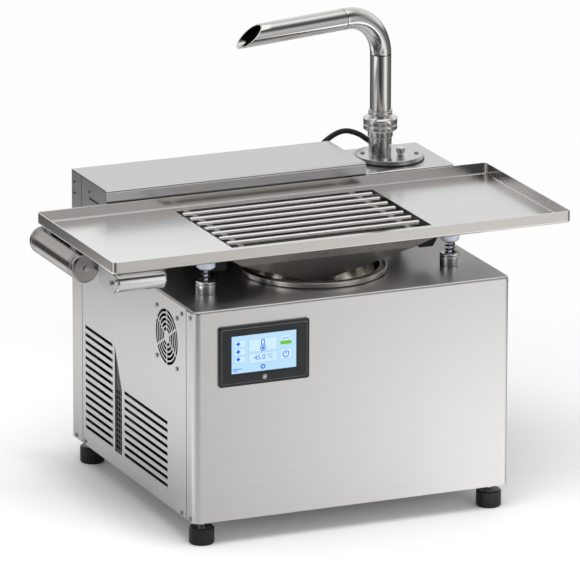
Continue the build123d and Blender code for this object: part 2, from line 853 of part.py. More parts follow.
outlet_x = bowl_outlet_offset * cos(radians(bowl_outlet_turn))
outlet_y = bowl_y + bowl_outlet_offset * sin(radians(bowl_outlet_turn))
with BuildPart() as bowl:
    with BuildSketch(bowl_axis) as dish:
        with BuildLine():
            inner_foot = (bowl_floor_radius, bowl_floor)
            inner_rim = (bowl_mouth_radius, bowl_rim_low)
            bulge_radius = bowl_mouth_radius * bowl_bulge_share
            bulge_z = bowl_rim_low - bowl_depth * bowl_bulge_depth_share
            ThreePointArc(inner_foot, (bulge_radius, bulge_z), inner_rim)
            Line(inner_rim, (bowl_mouth_radius, bowl_rim_top))
            Line((bowl_mouth_radius, bowl_rim_top), (bowl_rim_radius - bowl_wall, bowl_rim_top))
            RadiusArc((bowl_rim_radius - bowl_wall, bowl_rim_top),
                      (bowl_rim_radius, bowl_rim_top - bowl_wall), bowl_wall)
            Line((bowl_rim_radius, bowl_rim_top - bowl_wall), (bowl_rim_radius, bowl_rim_low))
            Line((bowl_rim_radius, bowl_rim_low), (bowl_mouth_radius + bowl_wall, bowl_rim_low))
            ThreePointArc((bowl_mouth_radius + bowl_wall, bowl_rim_low),
                          (bulge_radius + bowl_wall, bulge_z - bowl_wall / 2),
                          (bowl_floor_radius + bowl_wall, bowl_floor - bowl_wall))
            Line((bowl_floor_radius + bowl_wall, bowl_floor - bowl_wall), (0, bowl_floor - bowl_wall))
            Line((0, bowl_floor - bowl_wall), (0, bowl_floor))
            Line((0, bowl_floor), inner_foot)
        make_face()
    revolve(dish.sketch, axis=Axis(bowl_axis.origin, (0, 0, 1)))
    post(outlet_x, outlet_y, bowl_floor - overrun, bowl_floor + overrun, bowl_outlet_radius,
         Mode.SUBTRACT)
    post(0, bowl_y, bowl_floor - overrun, bowl_floor + overrun,
         stirrer_shaft_radius + running_clearance, Mode.SUBTRACT)
finish(bowl, "bowl")

# Heater plate under the bowl, open for the outlet and the stirrer's shaft
heater_top = bowl_floor - bowl_wall - joint_gap
port_outer = port_radius + port_wall
with BuildPart() as bowl_heater:
    post(0, bowl_y, heater_top - heater_thickness, heater_top, heater_radius)
    post(0, bowl_y, heater_top - overrun - heater_thickness, heater_top + overrun,
         stirrer_hub_radius, Mode.SUBTRACT)
    post(outlet_x, outlet_y, heater_top - overrun - heater_thickness, heater_top + overrun,
         port_outer + joint_gap, Mode.SUBTRACT)
finish(bowl_heater, "bowl_heater")

# Stirrer: shaft, hub and tilted paddles that sweep the bowl's floor
stirrer_motor_top = bowl_floor - stirrer_motor_drop
stirrer_low = bowl_floor + stirrer_rise
pan_floor = casing_bottom + sheet
with BuildPart() as stirrer:
    post(0, bowl_y, stirrer_motor_top - motor_bore_depth + joint_gap, stirrer_low, stirrer_shaft_radius)
    post(0, bowl_y, stirrer_low, stirrer_low + stirrer_hub_height, stirrer_hub_radius)
    hub_edge = stirrer.edges().group_by(Axis.Z)[-1]
    fillet(hub_edge, radius=stirrer_hub_radius / 3)
    paddle_length = stirrer_sweep_share * bowl_floor_radius
    for blade in range(stirrer_blades):
        turn = Rot(0, 0, 360 / stirrer_blades * blade) * Rot(stirrer_blade_tilt, 0, 0)
        paddle = Pos(*spot(0, bowl_y, stirrer_low + stirrer_blade_height / 2)) * turn
        with Locations(paddle):
            Box(paddle_length, stirrer_blade_thickness, stirrer_blade_height,
                align=(Align.MIN, Align.CENTER, Align.CENTER))
finish(stirrer, "stirrer")

# Gearmotor of the stirrer, standing on the base pan
with BuildPart() as stirrer_motor:
    gearbox_low = stirrer_motor_top - stirrer_gearbox_height
    post(0, bowl_y, pan_floor, gearbox_low, stirrer_motor_radius)
    post(0, bowl_y, gearbox_low, stirrer_motor_top, stirrer_gearbox_radius)
    post(0, bowl_y, stirrer_motor_top - motor_bore_depth, stirrer_motor_top + overrun,
         stirrer_shaft_radius + running_clearance, Mode.SUBTRACT)
finish(stirrer_motor, "stirrer_motor")

# Pump barrel with its inlet port turned towards the bowl's outlet
barrel_outer = barrel_radius + barrel_wall
flange_low = pump_top + flange_gasket
flange_top = flange_low + flange_thickness
port_z = barrel_bottom + port_height
to_bowl = Vector(outlet_x - pump_x, outlet_y - pump_y, 0).normalized()
port_end = Vector(*spot(pump_x, pump_y, port_z)) + to_bowl * (barrel_outer + port_reach)
port_plane = Plane(origin=port_end, x_dir=(0, 0, 1), z_dir=-to_bowl)
with BuildPart() as pump_barrel:
    post(pump_x, pump_y, barrel_bottom, flange_low, barrel_outer)
    with BuildSketch(port_plane):
        Circle(port_outer)
    extrude(amount=barrel_outer)
    post(pump_x, pump_y, barrel_bottom + barrel_floor, flange_low + overrun, barrel_radius,
         Mode.SUBTRACT)
    with BuildSketch(port_plane):
        Circle(port_radius)
    extrude(amount=barrel_outer + port_reach, mode=Mode.SUBTRACT)
    post(pump_x, pump_y, barrel_bottom - overrun, barrel_bottom + barrel_floor + overrun,
         auger_shaft_radius + running_clearance, Mode.SUBTRACT)
finish(pump_barrel, "pump_barrel")

# Transfer pipe from the bowl's outlet to the port
with BuildPart() as transfer_pipe:
    pipe_start = Vector(*spot(outlet_x, outlet_y, bowl_floor - bowl_wall))
    pipe_corner = Vector(*spot(outlet_x, outlet_y, port_z))
    with BuildLine() as pipe_path:
        FilletPolyline(pipe_start, pipe_corner, port_end, radius=pipe_bend_radius)
    with BuildSketch(Plane(origin=pipe_start, x_dir=(1, 0, 0), z_dir=(0, 0, -1))):
        Circle(port_outer)
        Circle(port_radius, mode=Mode.SUBTRACT)
    sweep(path=pipe_path.line)
finish(transfer_pipe, "transfer_pipe")

# Auger: a shaft with one helical flight, and the gearmotor that turns it
auger_low = barrel_bottom + barrel_floor + auger_end_gap
auger_radius = barrel_radius - auger_clearance
auger_height = auger_pitch * auger_turns
flight_width = auger_radius - auger_shaft_radius / 2
flight_middle = (auger_radius + auger_shaft_radius / 2) / 2
auger_foot = spot(pump_x, pump_y, auger_low)
with BuildPart() as auger:
    with BuildLine():
        Helix(pitch=auger_pitch, height=auger_height, radius=flight_middle, center=auger_foot)
    flight_start = Vector(*auger_foot) + Vector(flight_middle, 0, 0)
    with BuildSketch(Plane(origin=flight_start, x_dir=(1, 0, 0), z_dir=(0, 1, 0))):
        Rectangle(flight_width, auger_flight)
    sweep(is_frenet=True)
    post(pump_x, pump_y, barrel_bottom - motor_bore_depth + joint_gap,
         auger_low + auger_height + auger_end_gap, auger_shaft_radius)
finish(auger, "auger")

with BuildPart() as pump_motor:
    post(pump_x, pump_y, pan_floor, barrel_bottom - gearbox_height, gearmotor_radius)
    post(pump_x, pump_y, barrel_bottom - gearbox_height, barrel_bottom, gearbox_radius)
    post(pump_x, pump_y, barrel_bottom - motor_bore_depth, barrel_bottom + overrun,
         auger_shaft_radius + running_clearance, Mode.SUBTRACT)
finish(pump_motor, "pump_motor")

# Flange plate on the pump cover, over its gasket
with BuildPart() as flange_gasket_disc:
    post(flange_x, flange_y, pump_top, flange_low, flange_radius + flange_gasket_margin)
    post(pump_x, pump_y, pump_top - overrun, flange_low + overrun, barrel_outer + joint_gap,
         Mode.SUBTRACT)
    with Locations(spot(flange_x, flange_y, pump_top)):
        with PolarLocations(flange_bolt_radius, flange_bolts, start_angle=flange_bolt_turn):
            Cylinder(screw_hole_radius, 2 * overrun, mode=Mode.SUBTRACT)
finish(flange_gasket_disc, "flange_gasket")

with BuildPart() as pump_flange:
    post(flange_x, flange_y, flange_low, flange_top, flange_radius)
    flange_rim = pump_flange.edges().group_by(Axis.Z)[-1]
    fillet(flange_rim, radius=flange_edge)
    post(pump_x, pump_y, flange_low - overrun, flange_top + overrun, riser_bore, Mode.SUBTRACT)
    post(knob_x, knob_y, flange_top - knob_pin_depth - joint_gap, flange_top + overrun,
         knob_pin_radius + running_clearance, Mode.SUBTRACT)
    with Locations(spot(flange_x, flange_y, flange_low)):
        with PolarLocations(flange_bolt_radius, flange_bolts, start_angle=flange_bolt_turn):
            Cylinder(screw_hole_radius, 2 * flange_thickness + overrun, mode=Mode.SUBTRACT)
finish(pump_flange, "pump_flange")

with BuildPart() as flange_screws:
    with Locations(spot(flange_x, flange_y, flange_top)):
        with PolarLocations(flange_bolt_radius, flange_bolts, start_angle=flange_bolt_turn):
            Cylinder(screw_head_radius, screw_head_height,
                     align=(Align.CENTER, Align.CENTER, Align.MIN))
            Cylinder(screw_radius, flange_screw_length,
                     align=(Align.CENTER, Align.CENTER, Align.MAX))
finish(flange_screws, "flange_screws")

# Thumb knob: a pin in the flange under a waisted head
with BuildPart() as flange_knob:
    knob_low = flange_top + joint_gap
    knob_waist = knob_low + knob_neck_height
    knob_top = knob_waist + knob_head_height
    turned(upright_axis(knob_x, knob_y), [
        (0, flange_top - knob_pin_depth), (knob_pin_radius, flange_top - knob_pin_depth),
        (knob_pin_radius, knob_low), (knob_neck_radius, knob_low),
        (knob_neck_radius, knob_waist), (knob_head_radius, knob_waist),
        (knob_head_radius, knob_top - knob_edge), (knob_head_radius - knob_edge, knob_top),
        (0, knob_top),
    ])
finish(flange_knob, "flange_knob")

# Riser: the fixed lower pipe with the collar that carries the union
riser_axis = upright_axis(pump_x, pump_y)
riser_collar_low = flange_top + riser_height
riser_top = riser_collar_low + riser_collar_height
nut_low = riser_collar_low + riser_collar_height / 2
nut_top = nut_low + nut_height
with BuildPart() as riser_pipe:
    turned(riser_axis, [
        (riser_bore, flange_top), (riser_radius, flange_top), (riser_radius, riser_collar_low),
        (riser_collar_radius, riser_collar_low), (riser_collar_radius, riser_top),
        (riser_bore, riser_top),
    ])
finish(riser_pipe, "riser_pipe")

# Union nut: runs round the collar and holds the spout's ferrule down with its lip
nut_shoulder = nut_top - nut_lip
with BuildPart() as union_nut:
    turned(riser_axis, [
        (riser_collar_radius + nut_clearance, nut_low),
        (nut_radius - nut_chamfer, nut_low), (nut_radius, nut_low + nut_chamfer),
        (nut_radius, nut_top - nut_chamfer), (nut_radius - nut_chamfer, nut_top),
        (spout_neck_radius + nut_clearance, nut_top),
        (spout_neck_radius + nut_clearance, nut_shoulder),
        (riser_collar_radius + nut_clearance, nut_shoulder),
    ])
finish(union_nut, "union_nut")

# Spout: turned ferrule, straight tube, elbow and outlet tube, welded end to end
ferrule_low = riser_top + joint_gap
ferrule_shoulder = nut_shoulder - joint_gap
collar_low = nut_top + joint_gap
straight_low = collar_low + spout_collar_height
elbow_low = straight_low + spout_straight
elbow_top = elbow_low + elbow_radius
with BuildPart() as spout_ferrule:
    turned(riser_axis, [
        (riser_bore, ferrule_low), (riser_collar_radius, ferrule_low),
        (riser_collar_radius, ferrule_shoulder), (spout_neck_radius, ferrule_shoulder),
        (spout_neck_radius, collar_low), (spout_collar_radius, collar_low),
        (spout_collar_radius, straight_low), (riser_bore, straight_low),
    ])
finish(spout_ferrule, "spout_ferrule")

with BuildPart() as spout_tube:
    post(pump_x, pump_y, straight_low, elbow_low, spout_radius)
    post(pump_x, pump_y, straight_low - overrun, elbow_low + overrun, riser_bore, Mode.SUBTRACT)
finish(spout_tube, "spout_tube")

# The spout points to the left, turned forward by its yaw
spout_way = Vector(-cos(radians(spout_yaw)), -sin(radians(spout_yaw)), 0)
elbow_start = Vector(*spot(pump_x, pump_y, elbow_low))
elbow_end = Vector(*spot(pump_x, pump_y, elbow_top)) + spout_way * elbow_radius
tail_end = elbow_end + spout_way * elbow_tail
with BuildPart() as spout_elbow:
    with BuildLine() as elbow_path:
        TangentArc(elbow_start, elbow_end, tangent=(0, 0, 1))
        Line(elbow_end, tail_end)
    with BuildSketch(Plane(origin=elbow_start, x_dir=spout_way, z_dir=(0, 0, 1))):
        Circle(spout_radius)
        Circle(riser_bore, mode=Mode.SUBTRACT)
    sweep(path=elbow_path.line)
finish(spout_elbow, "spout_elbow")

outlet_start = Vector(*spot(pump_x, pump_y, elbow_top)) + spout_way * (elbow_radius + elbow_tail)
outlet_length = spout_reach - elbow_radius - elbow_tail
spout_side = spout_way.cross(Vector(0, 0, 1))
with BuildPart() as spout_outlet:
    with BuildSketch(Plane(origin=outlet_start, x_dir=spout_side, z_dir=spout_way)):
        Circle(spout_radius)
        Circle(riser_bore, mode=Mode.SUBTRACT)
    extrude(amount=outlet_length)
    with BuildSketch(Plane(origin=outlet_start, x_dir=spout_way, z_dir=spout_side)):
        with BuildLine():
            Polyline(
                (outlet_length, -spout_radius), (outlet_length + overrun, -spout_radius),
                (outlet_length + overrun, spout_radius + overrun),
                (outlet_length - mouth_set_back, spout_radius + overrun),
                (outlet_length - mouth_set_back, spout_radius), close=True,
            )
        make_face()
    extrude(amount=spout_radius + overrun, both=True, mode=Mode.SUBTRACT)
finish(spout_outlet, "spout_outlet")

# Vibrating tray: folded sheet with an opening whose lips and ledges carry the grille
grille_left = grille_x - grille_width / 2
grille_right = grille_x + grille_width / 2
lip_low = tray_bottom - lip_drop
ledge_top = lip_low + sheet
with BuildPart() as tray:
    block(-tray_half, tray_half, tray_front, tray_back, tray_bottom, tray_top)
    tray_uprights = tray.edges().filter_by(Axis.Z)
    fillet(tray_uprights, radius=tray_corner)
    tray_folds = tray.edges().group_by(Axis.Z)[0]
    fillet(tray_folds, radius=tray_fold)
    offset(amount=-sheet, openings=tray.faces().sort_by(Axis.Z)[-1])
    block(grille_left - sheet, grille_right + sheet, grille_front - sheet, grille_back + sheet,
          lip_low, tray_floor)
    block(grille_left, grille_right, grille_front, grille_back, ledge_top,
          tray_floor + overrun, Mode.SUBTRACT)
    block(grille_left, grille_right, grille_front + ledge_width, grille_back - ledge_width,
          lip_low - overrun, tray_floor, Mode.SUBTRACT)
finish(tray, "tray")

# Grille: round rods welded on two cross bars that rest on the ledges
rod_z = tray_bottom + rod_rise
rod_left = grille_left + rod_side_gap
rod_right = grille_right - rod_right_gap
with BuildPart() as tray_grille:
    for rod in range(rod_count):
        rod_y = grille_back - rod_margin - rod * rod_pitch
        bar(facing_right(rod_left), rod_y, rod_z, rod_right - rod_left, rod_radius)
    for bar_x in (rod_left + cross_bar_inset, rod_right - cross_bar_inset - cross_bar_width):
        block(bar_x, bar_x + cross_bar_width, grille_front + rod_side_gap, grille_back - rod_side_gap,
              ledge_top, rod_z - rod_radius + rod_weld)
finish(tray_grille, "tray_grille")


def hopper(sections, mode=Mode.ADD):
    """Flat-sided hopper between rectangles given as (x from, x to, y from, y to, z)."""
    for upper, lower in zip(sections, sections[1:]):
        outlines = []
        for x_from, x_to, y_from, y_to, z in (upper, lower):
            with BuildSketch(level(z)) as outline:
                with Locations(((x_from + x_to) / 2, (y_from + y_to) / 2)):
                    Rectangle(x_to - x_from, y_to - y_from)
            outlines.append(outline.sketch)
        loft(sections=outlines, ruled=True, mode=mode)


# Drip funnel: a skirt round the lips, then two slopes down to the outlet over the bowl
skirt_left = grille_left - sheet - funnel_gap
skirt_right = grille_right + sheet + funnel_gap
skirt_front = grille_front - sheet - funnel_gap
skirt_back = grille_back + sheet + funnel_gap
skirt_low = tray_bottom - funnel_skirt
fold_half = grille_width / 2 - funnel_fold_inset
mouth_half = funnel_mouth_width / 2
funnel_inside = [
    (skirt_left, skirt_right, skirt_front, skirt_back, tray_bottom),
    (skirt_left, skirt_right, skirt_front, skirt_back, skirt_low),
    (-fold_half, fold_half, funnel_fold_front, funnel_fold_back, funnel_fold_z),
    (-mouth_half, mouth_half, bowl_y - mouth_half, bowl_y + mouth_half, funnel_mouth_z),
]
funnel_outside = [
    (left - sheet, right + sheet, front - sheet, back + sheet, z - sheet)
    for left, right, front, back, z in funnel_inside
]
with BuildPart() as drip_funnel:
    block(skirt_left - sheet, skirt_right + sheet, skirt_front - sheet, skirt_back + sheet,
          tray_bottom - sheet, tray_bottom)
    hopper(funnel_outside)
    post(0, bowl_y, funnel_mouth_z - sheet - funnel_outlet_drop, funnel_mouth_z - sheet,
         funnel_outlet_radius)
    hopper(funnel_inside, Mode.SUBTRACT)
    post(0, bowl_y, funnel_mouth_z - funnel_outlet_drop - overrun, funnel_mouth_z + overrun,
         funnel_outlet_radius - sheet, Mode.SUBTRACT)
finish(drip_funnel, "drip_funnel")

# Hangers: rubber lugs under the tray that stand against the funnel's ends
with BuildPart() as funnel_hangers:
    for side, skirt_edge in ((-1, sheet - skirt_left), (1, skirt_right + sheet)):
        near = skirt_edge + hanger_clearance
        slope = (skirt_low - funnel_fold_z) / (skirt_edge - sheet - fold_half)
        foot_up = skirt_low - sheet - hanger_clearance - slope * (near - hanger_foot_x)
        lug = [
            (near, tray_bottom), (near, skirt_low - sheet - hanger_clearance),
            (hanger_foot_x, foot_up - hanger_clearance), (hanger_foot_x, hanger_low_z),
            (hanger_foot_x + hanger_foot, hanger_low_z), (hanger_top_x, tray_bottom),
        ]
        for y in (hanger_front_y, hanger_back_y):
            with BuildSketch(facing_front(y + hanger_depth)) as lug_face:
                with BuildLine():
                    Polyline(*[(side * across, z) for across, z in lug], close=True)
                make_face()
            extrude(lug_face.sketch, amount=hanger_depth)
finish(funnel_hangers, "funnel_hangers")

# Post cups on the deck: each holds the lower end of a spring
cup_top = deck_top + cup_height
spring_seat = deck_top + cup_floor + joint_gap
with BuildPart() as post_cups:
    for x, y in posts:
        turned(upright_axis(x, y), [
            (0, deck_top), (cup_radius, deck_top), (cup_radius, deck_top + cup_groove_z),
            (cup_radius - cup_groove, deck_top + cup_groove_z),
            (cup_radius - cup_groove, deck_top + cup_groove_z + 2 * cup_groove),
            (cup_radius, deck_top + cup_groove_z + 2 * cup_groove),
            (cup_radius, cup_top - cup_groove), (cup_radius - cup_groove, cup_top),
            (cup_bore, cup_top), (cup_bore, deck_top + cup_floor), (0, deck_top + cup_floor),
        ])
finish(post_cups, "post_cups")

# Pucks under the tray: each has a stud that guides its spring
puck_low = tray_bottom - puck_height
puck_shoulder = puck_low + puck_head_height
with BuildPart() as tray_pucks:
    for x, y in posts:
        turned(upright_axis(x, y), [
            (0, puck_low - guide_reach), (guide_radius, puck_low - guide_reach),
            (guide_radius, puck_low), (puck_radius - puck_edge, puck_low),
            (puck_radius, puck_low + puck_edge), (puck_radius, puck_shoulder - puck_edge),
            (puck_radius - puck_edge, puck_shoulder), (puck_neck_radius, puck_shoulder),
            (puck_neck_radius, tray_bottom), (0, tray_bottom),
        ])
finish(tray_pucks, "tray_pucks")

# Springs of the posts: sleeves with one groove for each gap between coils
spring_top = puck_low - joint_gap
coil_pitch = (spring_top - spring_seat) / spring_turns
spring_outer = spring_radius + spring_wire / 2
spring_inner = spring_radius - spring_wire / 2
with BuildPart() as tray_springs:
    coil_edges = []
    for coil in range(spring_turns):
        coil_edges.append((spring_radius, spring_seat + coil * coil_pitch))
        coil_edges.append((spring_outer, spring_seat + (coil + 1 / 2) * coil_pitch))
    for x, y in posts:
        turned(upright_axis(x, y), [
            (spring_inner, spring_seat), *coil_edges, (spring_radius, spring_top),
            (spring_inner, spring_top),
        ])
finish(tray_springs, "tray_springs")

# Vibrator: tube with two caps round a shaft with eccentric weights
vibrator_axis = Plane(origin=spot(vibrator_x, 0, vibrator_z), x_dir=(1, 0, 0), z_dir=(0, 0, 1))
vibrator_bore = vibrator_radius - vibrator_wall
tube_front = vibrator_front + cap_length
tube_back = vibrator_back - cap_length
with BuildPart() as vibrator_housing:
    turned(vibrator_axis, [
        (vibrator_bore, tube_front), (vibrator_radius, tube_front),
        (vibrator_radius, tube_back), (vibrator_bore, tube_back),
    ])
finish(vibrator_housing, "vibrator_housing")

seat_radius = shaft_radius + running_clearance
cap_outline = [
    (bolt_hole_radius, 0), (vibrator_radius - cap_edge, 0), (vibrator_radius, cap_edge),
    (vibrator_radius, cap_length / 2), (vibrator_radius - cap_groove, cap_length / 2),
    (vibrator_radius - cap_groove, cap_length / 2 + 2 * cap_groove),
    (vibrator_radius, cap_length / 2 + 2 * cap_groove), (vibrator_radius, cap_length),
    (vibrator_bore, cap_length), (vibrator_bore, cap_floor), (bearing_radius, cap_floor),
    (bearing_radius, cap_floor + bearing_length), (seat_radius, cap_floor + bearing_length),
    (seat_radius, cap_floor), (bolt_hole_radius, cap_floor),
]
with BuildPart() as vibrator_caps:
    turned(vibrator_axis, [(radius, vibrator_front + along) for radius, along in cap_outline])
    turned(vibrator_axis, [(radius, vibrator_back - along) for radius, along in cap_outline])
finish(vibrator_caps, "vibrator_caps")

shaft_front = vibrator_front + cap_floor + joint_gap
shaft_back = vibrator_back - cap_floor - joint_gap
weight_front = shaft_front + bearing_length + weight_gap
weight_back = shaft_back - bearing_length - weight_gap - weight_length
with BuildPart() as vibrator_shaft:
    bar(facing_front(shaft_back), vibrator_x, vibrator_z, shaft_back - shaft_front, shaft_radius)
    for y in (weight_front, weight_back):
        with BuildSketch(facing_front(y + weight_length)) as weight:
            with Locations((vibrator_x, vibrator_z)):
                Circle(weight_radius)
            with Locations((vibrator_x, vibrator_z + weight_radius)):
                Rectangle(2 * weight_radius, 2 * weight_radius, mode=Mode.SUBTRACT)
        extrude(weight.sketch, amount=weight_length)
finish(vibrator_shaft, "vibrator_shaft")

with BuildPart() as vibrator_saddles:
    for y in (vibrator_front + saddle_inset, vibrator_back - saddle_inset - saddle_width):
        block(-tray_half + tray_fold, vibrator_x + saddle_width, y, y + saddle_width,
              vibrator_z + vibrator_radius - saddle_rise, tray_bottom)
    bar(facing_front(vibrator_back), vibrator_x, vibrator_z, vibrator_back - vibrator_front,
        vibrator_radius, Mode.SUBTRACT)
finish(vibrator_saddles, "vibrator_saddles")

# Bracket of the hand grip: a bent plate beside the vibrator, with a round end
bracket_left = vibrator_x - bracket_plate / 2
bracket_face = bracket_left + bracket_plate
bracket_side = vibrator_x + vibrator_radius + joint_gap
with BuildPart() as grip_bracket:
    with BuildSketch(level(bracket_bottom)):
        with BuildLine():
            Polyline(
                (bracket_left, grip_y), (bracket_face, grip_y), (bracket_face, bracket_bend_y),
                (bracket_side + bracket_plate, bracket_side_y),
                (bracket_side + bracket_plate, vibrator_back), (bracket_side, vibrator_back),
                (bracket_side, bracket_side_y), (bracket_left, bracket_bend_y), close=True,
            )
        make_face()
    extrude(amount=tray_bottom - bracket_bottom)
    bar(facing_right(bracket_left), grip_y, grip_z, bracket_plate, grip_radius)
    bar(facing_right(bracket_left - overrun), grip_y, grip_z, bracket_plate + 2 * overrun,
        bolt_hole_radius, Mode.SUBTRACT)
finish(grip_bracket, "grip_bracket")

grip_axis = Plane(origin=spot(bracket_face, grip_y, grip_z), x_dir=(0, 1, 0), z_dir=(0, 0, -1))
with BuildPart() as hand_grip:
    turned(grip_axis, [
        (bolt_hole_radius, 0), (grip_radius, 0), (grip_radius, grip_length - grip_groove_inset),
        (grip_radius - grip_groove, grip_length - grip_groove_inset),
        (grip_radius - grip_groove, grip_length - grip_groove_inset + 2 * grip_groove),
        (grip_radius, grip_length - grip_groove_inset + 2 * grip_groove),
        (grip_radius, grip_length - grip_groove), (grip_radius - grip_groove, grip_length),
        (0, grip_length), (0, bolt_length), (bolt_hole_radius, bolt_length),
    ])
finish(hand_grip, "hand_grip")

# Cap bolts of the tray group: one at each end of the vibrator, one through the bracket
with BuildPart() as tray_bolts:
    for y, heading in ((vibrator_front, facing_front), (vibrator_back, facing_back)):
        across = vibrator_x if heading is facing_front else -vibrator_x
        bar(heading(y), across, vibrator_z, bolt_head_height, bolt_head_radius)
        bar(heading(y), across, vibrator_z, -bolt_length, bolt_radius)
    bar(facing_right(bracket_left - bolt_head_height), grip_y, grip_z, bolt_head_height,
        bolt_head_radius)
    bar(facing_right(bracket_left), grip_y, grip_z, bolt_length, bolt_radius)
finish(tray_bolts, "tray_bolts")

# Touch panel: stepped bezel, glass, button and the housing behind the front wall
window_z = bezel_z + window_rise
step_front = bezel_step - bezel_proud
with BuildPart() as hmi_bezel:
    with BuildSketch(facing_front(0)):
        with Locations((bezel_x, bezel_z)):
            RectangleRounded(bezel_width, bezel_height, bezel_radius)
    extrude(amount=bezel_proud - bezel_step)
    with BuildSketch(facing_front(step_front)):
        with Locations((bezel_x, bezel_z)):
            RectangleRounded(bezel_width - 2 * bezel_step_inset, bezel_height - 2 * bezel_step_inset,
                             bezel_radius - bezel_step_inset / 2)
    extrude(amount=bezel_step)
    with BuildSketch(facing_front(overrun)):
        with Locations((bezel_x, window_z)):
            Rectangle(window_width, window_height)
        with Locations((bezel_x, button_z)):
            Circle(button_radius + joint_gap)
    extrude(amount=bezel_proud + 2 * overrun, mode=Mode.SUBTRACT)
finish(hmi_bezel, "hmi_bezel")

with BuildPart() as hmi_glass:
    with BuildSketch(facing_front(0)):
        with Locations((bezel_x, window_z)):
            Rectangle(window_width, window_height)
    extrude(amount=glass_thickness)
finish(hmi_glass, "hmi_glass")

with BuildPart() as hmi_housing:
    with BuildSketch(facing_front(housing_depth)):
        with Locations((bezel_x, bezel_z)):
            Rectangle(housing_width, housing_height)
    extrude(amount=housing_depth)
finish(hmi_housing, "hmi_housing")

button_back = -button_travel - cutout_clearance
with BuildPart() as home_button:
    bar(facing_front(button_back), bezel_x, button_z, bezel_proud - button_recess + button_back,
        button_radius)
finish(home_button, "home_button")

# Cooling fan: square frame with a motor disc on struts, and the bladed rotor
fan_back = inner_left + fan_depth
fan_disc = fan_back - fan_rotor_gap - fan_blade_thickness
with BuildPart() as fan_frame:
    block(inner_left, fan_back, fan_y - fan_size / 2, fan_y + fan_size / 2,
          fan_z - fan_size / 2, fan_z + fan_size / 2)
    bar(facing_right(inner_left - overrun), fan_y, fan_z, fan_depth + 2 * overrun, fan_bore / 2,
        Mode.SUBTRACT)
    bar(facing_right(fan_disc), fan_y, fan_z, fan_back - fan_disc, fan_hub_radius)
    with BuildSketch(facing_right(fan_disc)) as struts:
        with Locations((fan_y, fan_z)):
            with PolarLocations(fan_bore / 4, fan_struts, start_angle=fan_strut_turn):
                Rectangle(fan_bore / 2 + fan_strut_width, fan_strut_width)
    extrude(struts.sketch, amount=fan_back - fan_disc)
    for y, z in fan_screws:
        bar(facing_right(inner_left - overrun), y, z, fan_depth + 2 * overrun, screw_hole_radius,
            Mode.SUBTRACT)
    bar(facing_right(fan_disc - overrun), fan_y, fan_z, fan_depth,
        fan_pin_radius + running_clearance, Mode.SUBTRACT)
finish(fan_frame, "fan_frame")

rotor_front = fan_disc - joint_gap - fan_rotor_depth
with BuildPart() as fan_rotor:
    bar(facing_right(rotor_front), fan_y, fan_z, fan_rotor_depth, fan_hub_radius)
    bar(facing_right(rotor_front), fan_y, fan_z, fan_rotor_depth + fan_back - fan_disc,
        fan_pin_radius)
    for blade in range(fan_blades):
        turn = Rot(360 / fan_blades * blade, 0, 0) * Rot(0, 0, fan_blade_pitch)
        with Locations(Pos(*spot(rotor_front + fan_rotor_depth / 2, fan_y, fan_z)) * turn):
            Box(fan_blade_chord, fan_blade_thickness, fan_bore / 2 - fan_blade_clearance,
                align=(Align.CENTER, Align.CENTER, Align.MIN))
finish(fan_rotor, "fan_rotor")

# Condenser behind the fan: fins between two headers
condenser_front = fan_y - condenser_depth / 2
condenser_left = fan_back + joint_gap
fin_pitch = condenser_depth / condenser_fins
with BuildPart() as condenser:
    condenser_low = fan_z - condenser_height / 2
    condenser_high = fan_z + condenser_height / 2
    for z in (condenser_low, condenser_high - condenser_header):
        block(condenser_left, condenser_left + condenser_width, condenser_front,
              condenser_front + condenser_depth, z, z + condenser_header)
    for fin in range(condenser_fins):
        fin_y = condenser_front + (fin + 1 / 2) * fin_pitch
        fin_half = fin_pitch * condenser_fin_share / 2
        block(condenser_left, condenser_left + condenser_width, fin_y - fin_half, fin_y + fin_half,
              condenser_low, condenser_high)
finish(condenser, "condenser")

# Compressor of the cooling circuit on the base pan
with BuildPart() as compressor:
    compressor_top = pan_floor + compressor_height
    turned(upright_axis(compressor_x, compressor_y), [
        (0, pan_floor), (compressor_radius - compressor_dome, pan_floor),
        (compressor_radius, pan_floor + compressor_dome),
        (compressor_radius, compressor_top - compressor_dome),
        (compressor_radius - compressor_dome, compressor_top), (0, compressor_top),
    ])
finish(compressor, "compressor")

# Mains module in the rear wall: inlet with its pins, and the cavity of the rocker
module_face = casing_depth + inlet_proud
rocker_y = module_face - rocker_depth
with BuildPart() as power_inlet:
    block(inlet_x - inlet_width / 2 - inlet_flange, inlet_x + inlet_width / 2 + inlet_flange,
          casing_depth, module_face, module_low - inlet_flange, module_high + inlet_flange)
    block(inlet_x - inlet_width / 2, inlet_x + inlet_width / 2, module_face - inlet_depth,
          module_face, module_low, module_high)
    block(inlet_x - inlet_cavity_width / 2, inlet_x + inlet_cavity_width / 2,
          module_face - inlet_cavity_depth, module_face + overrun,
          inlet_z - inlet_cavity_height / 2, inlet_z + inlet_cavity_height / 2, Mode.SUBTRACT)
    cavity_half = rocker_width / 2 + rocker_clearance
    bar(facing_right(inlet_x - cavity_half), rocker_y, switch_z, 2 * cavity_half,
        rocker_radius + rocker_clearance, Mode.SUBTRACT)
    for step in (-1, 0, 1):
        pin_x = inlet_x + step * pin_spacing
        block(pin_x - pin_width / 2, pin_x + pin_width / 2, module_face - inlet_depth,
              module_face - inlet_cavity_depth + pin_length, inlet_z - pin_height / 2,
              inlet_z + pin_height / 2)
finish(power_inlet, "power_inlet")

with BuildPart() as power_rocker:
    bar(facing_right(inlet_x - rocker_width / 2), rocker_y, switch_z, rocker_width, rocker_radius)
    block(inlet_x - rocker_width, inlet_x + rocker_width, module_face, module_face + rocker_radius,
          switch_z - rocker_radius, switch_z + rocker_radius, Mode.SUBTRACT)
finish(power_rocker, "power_rocker")

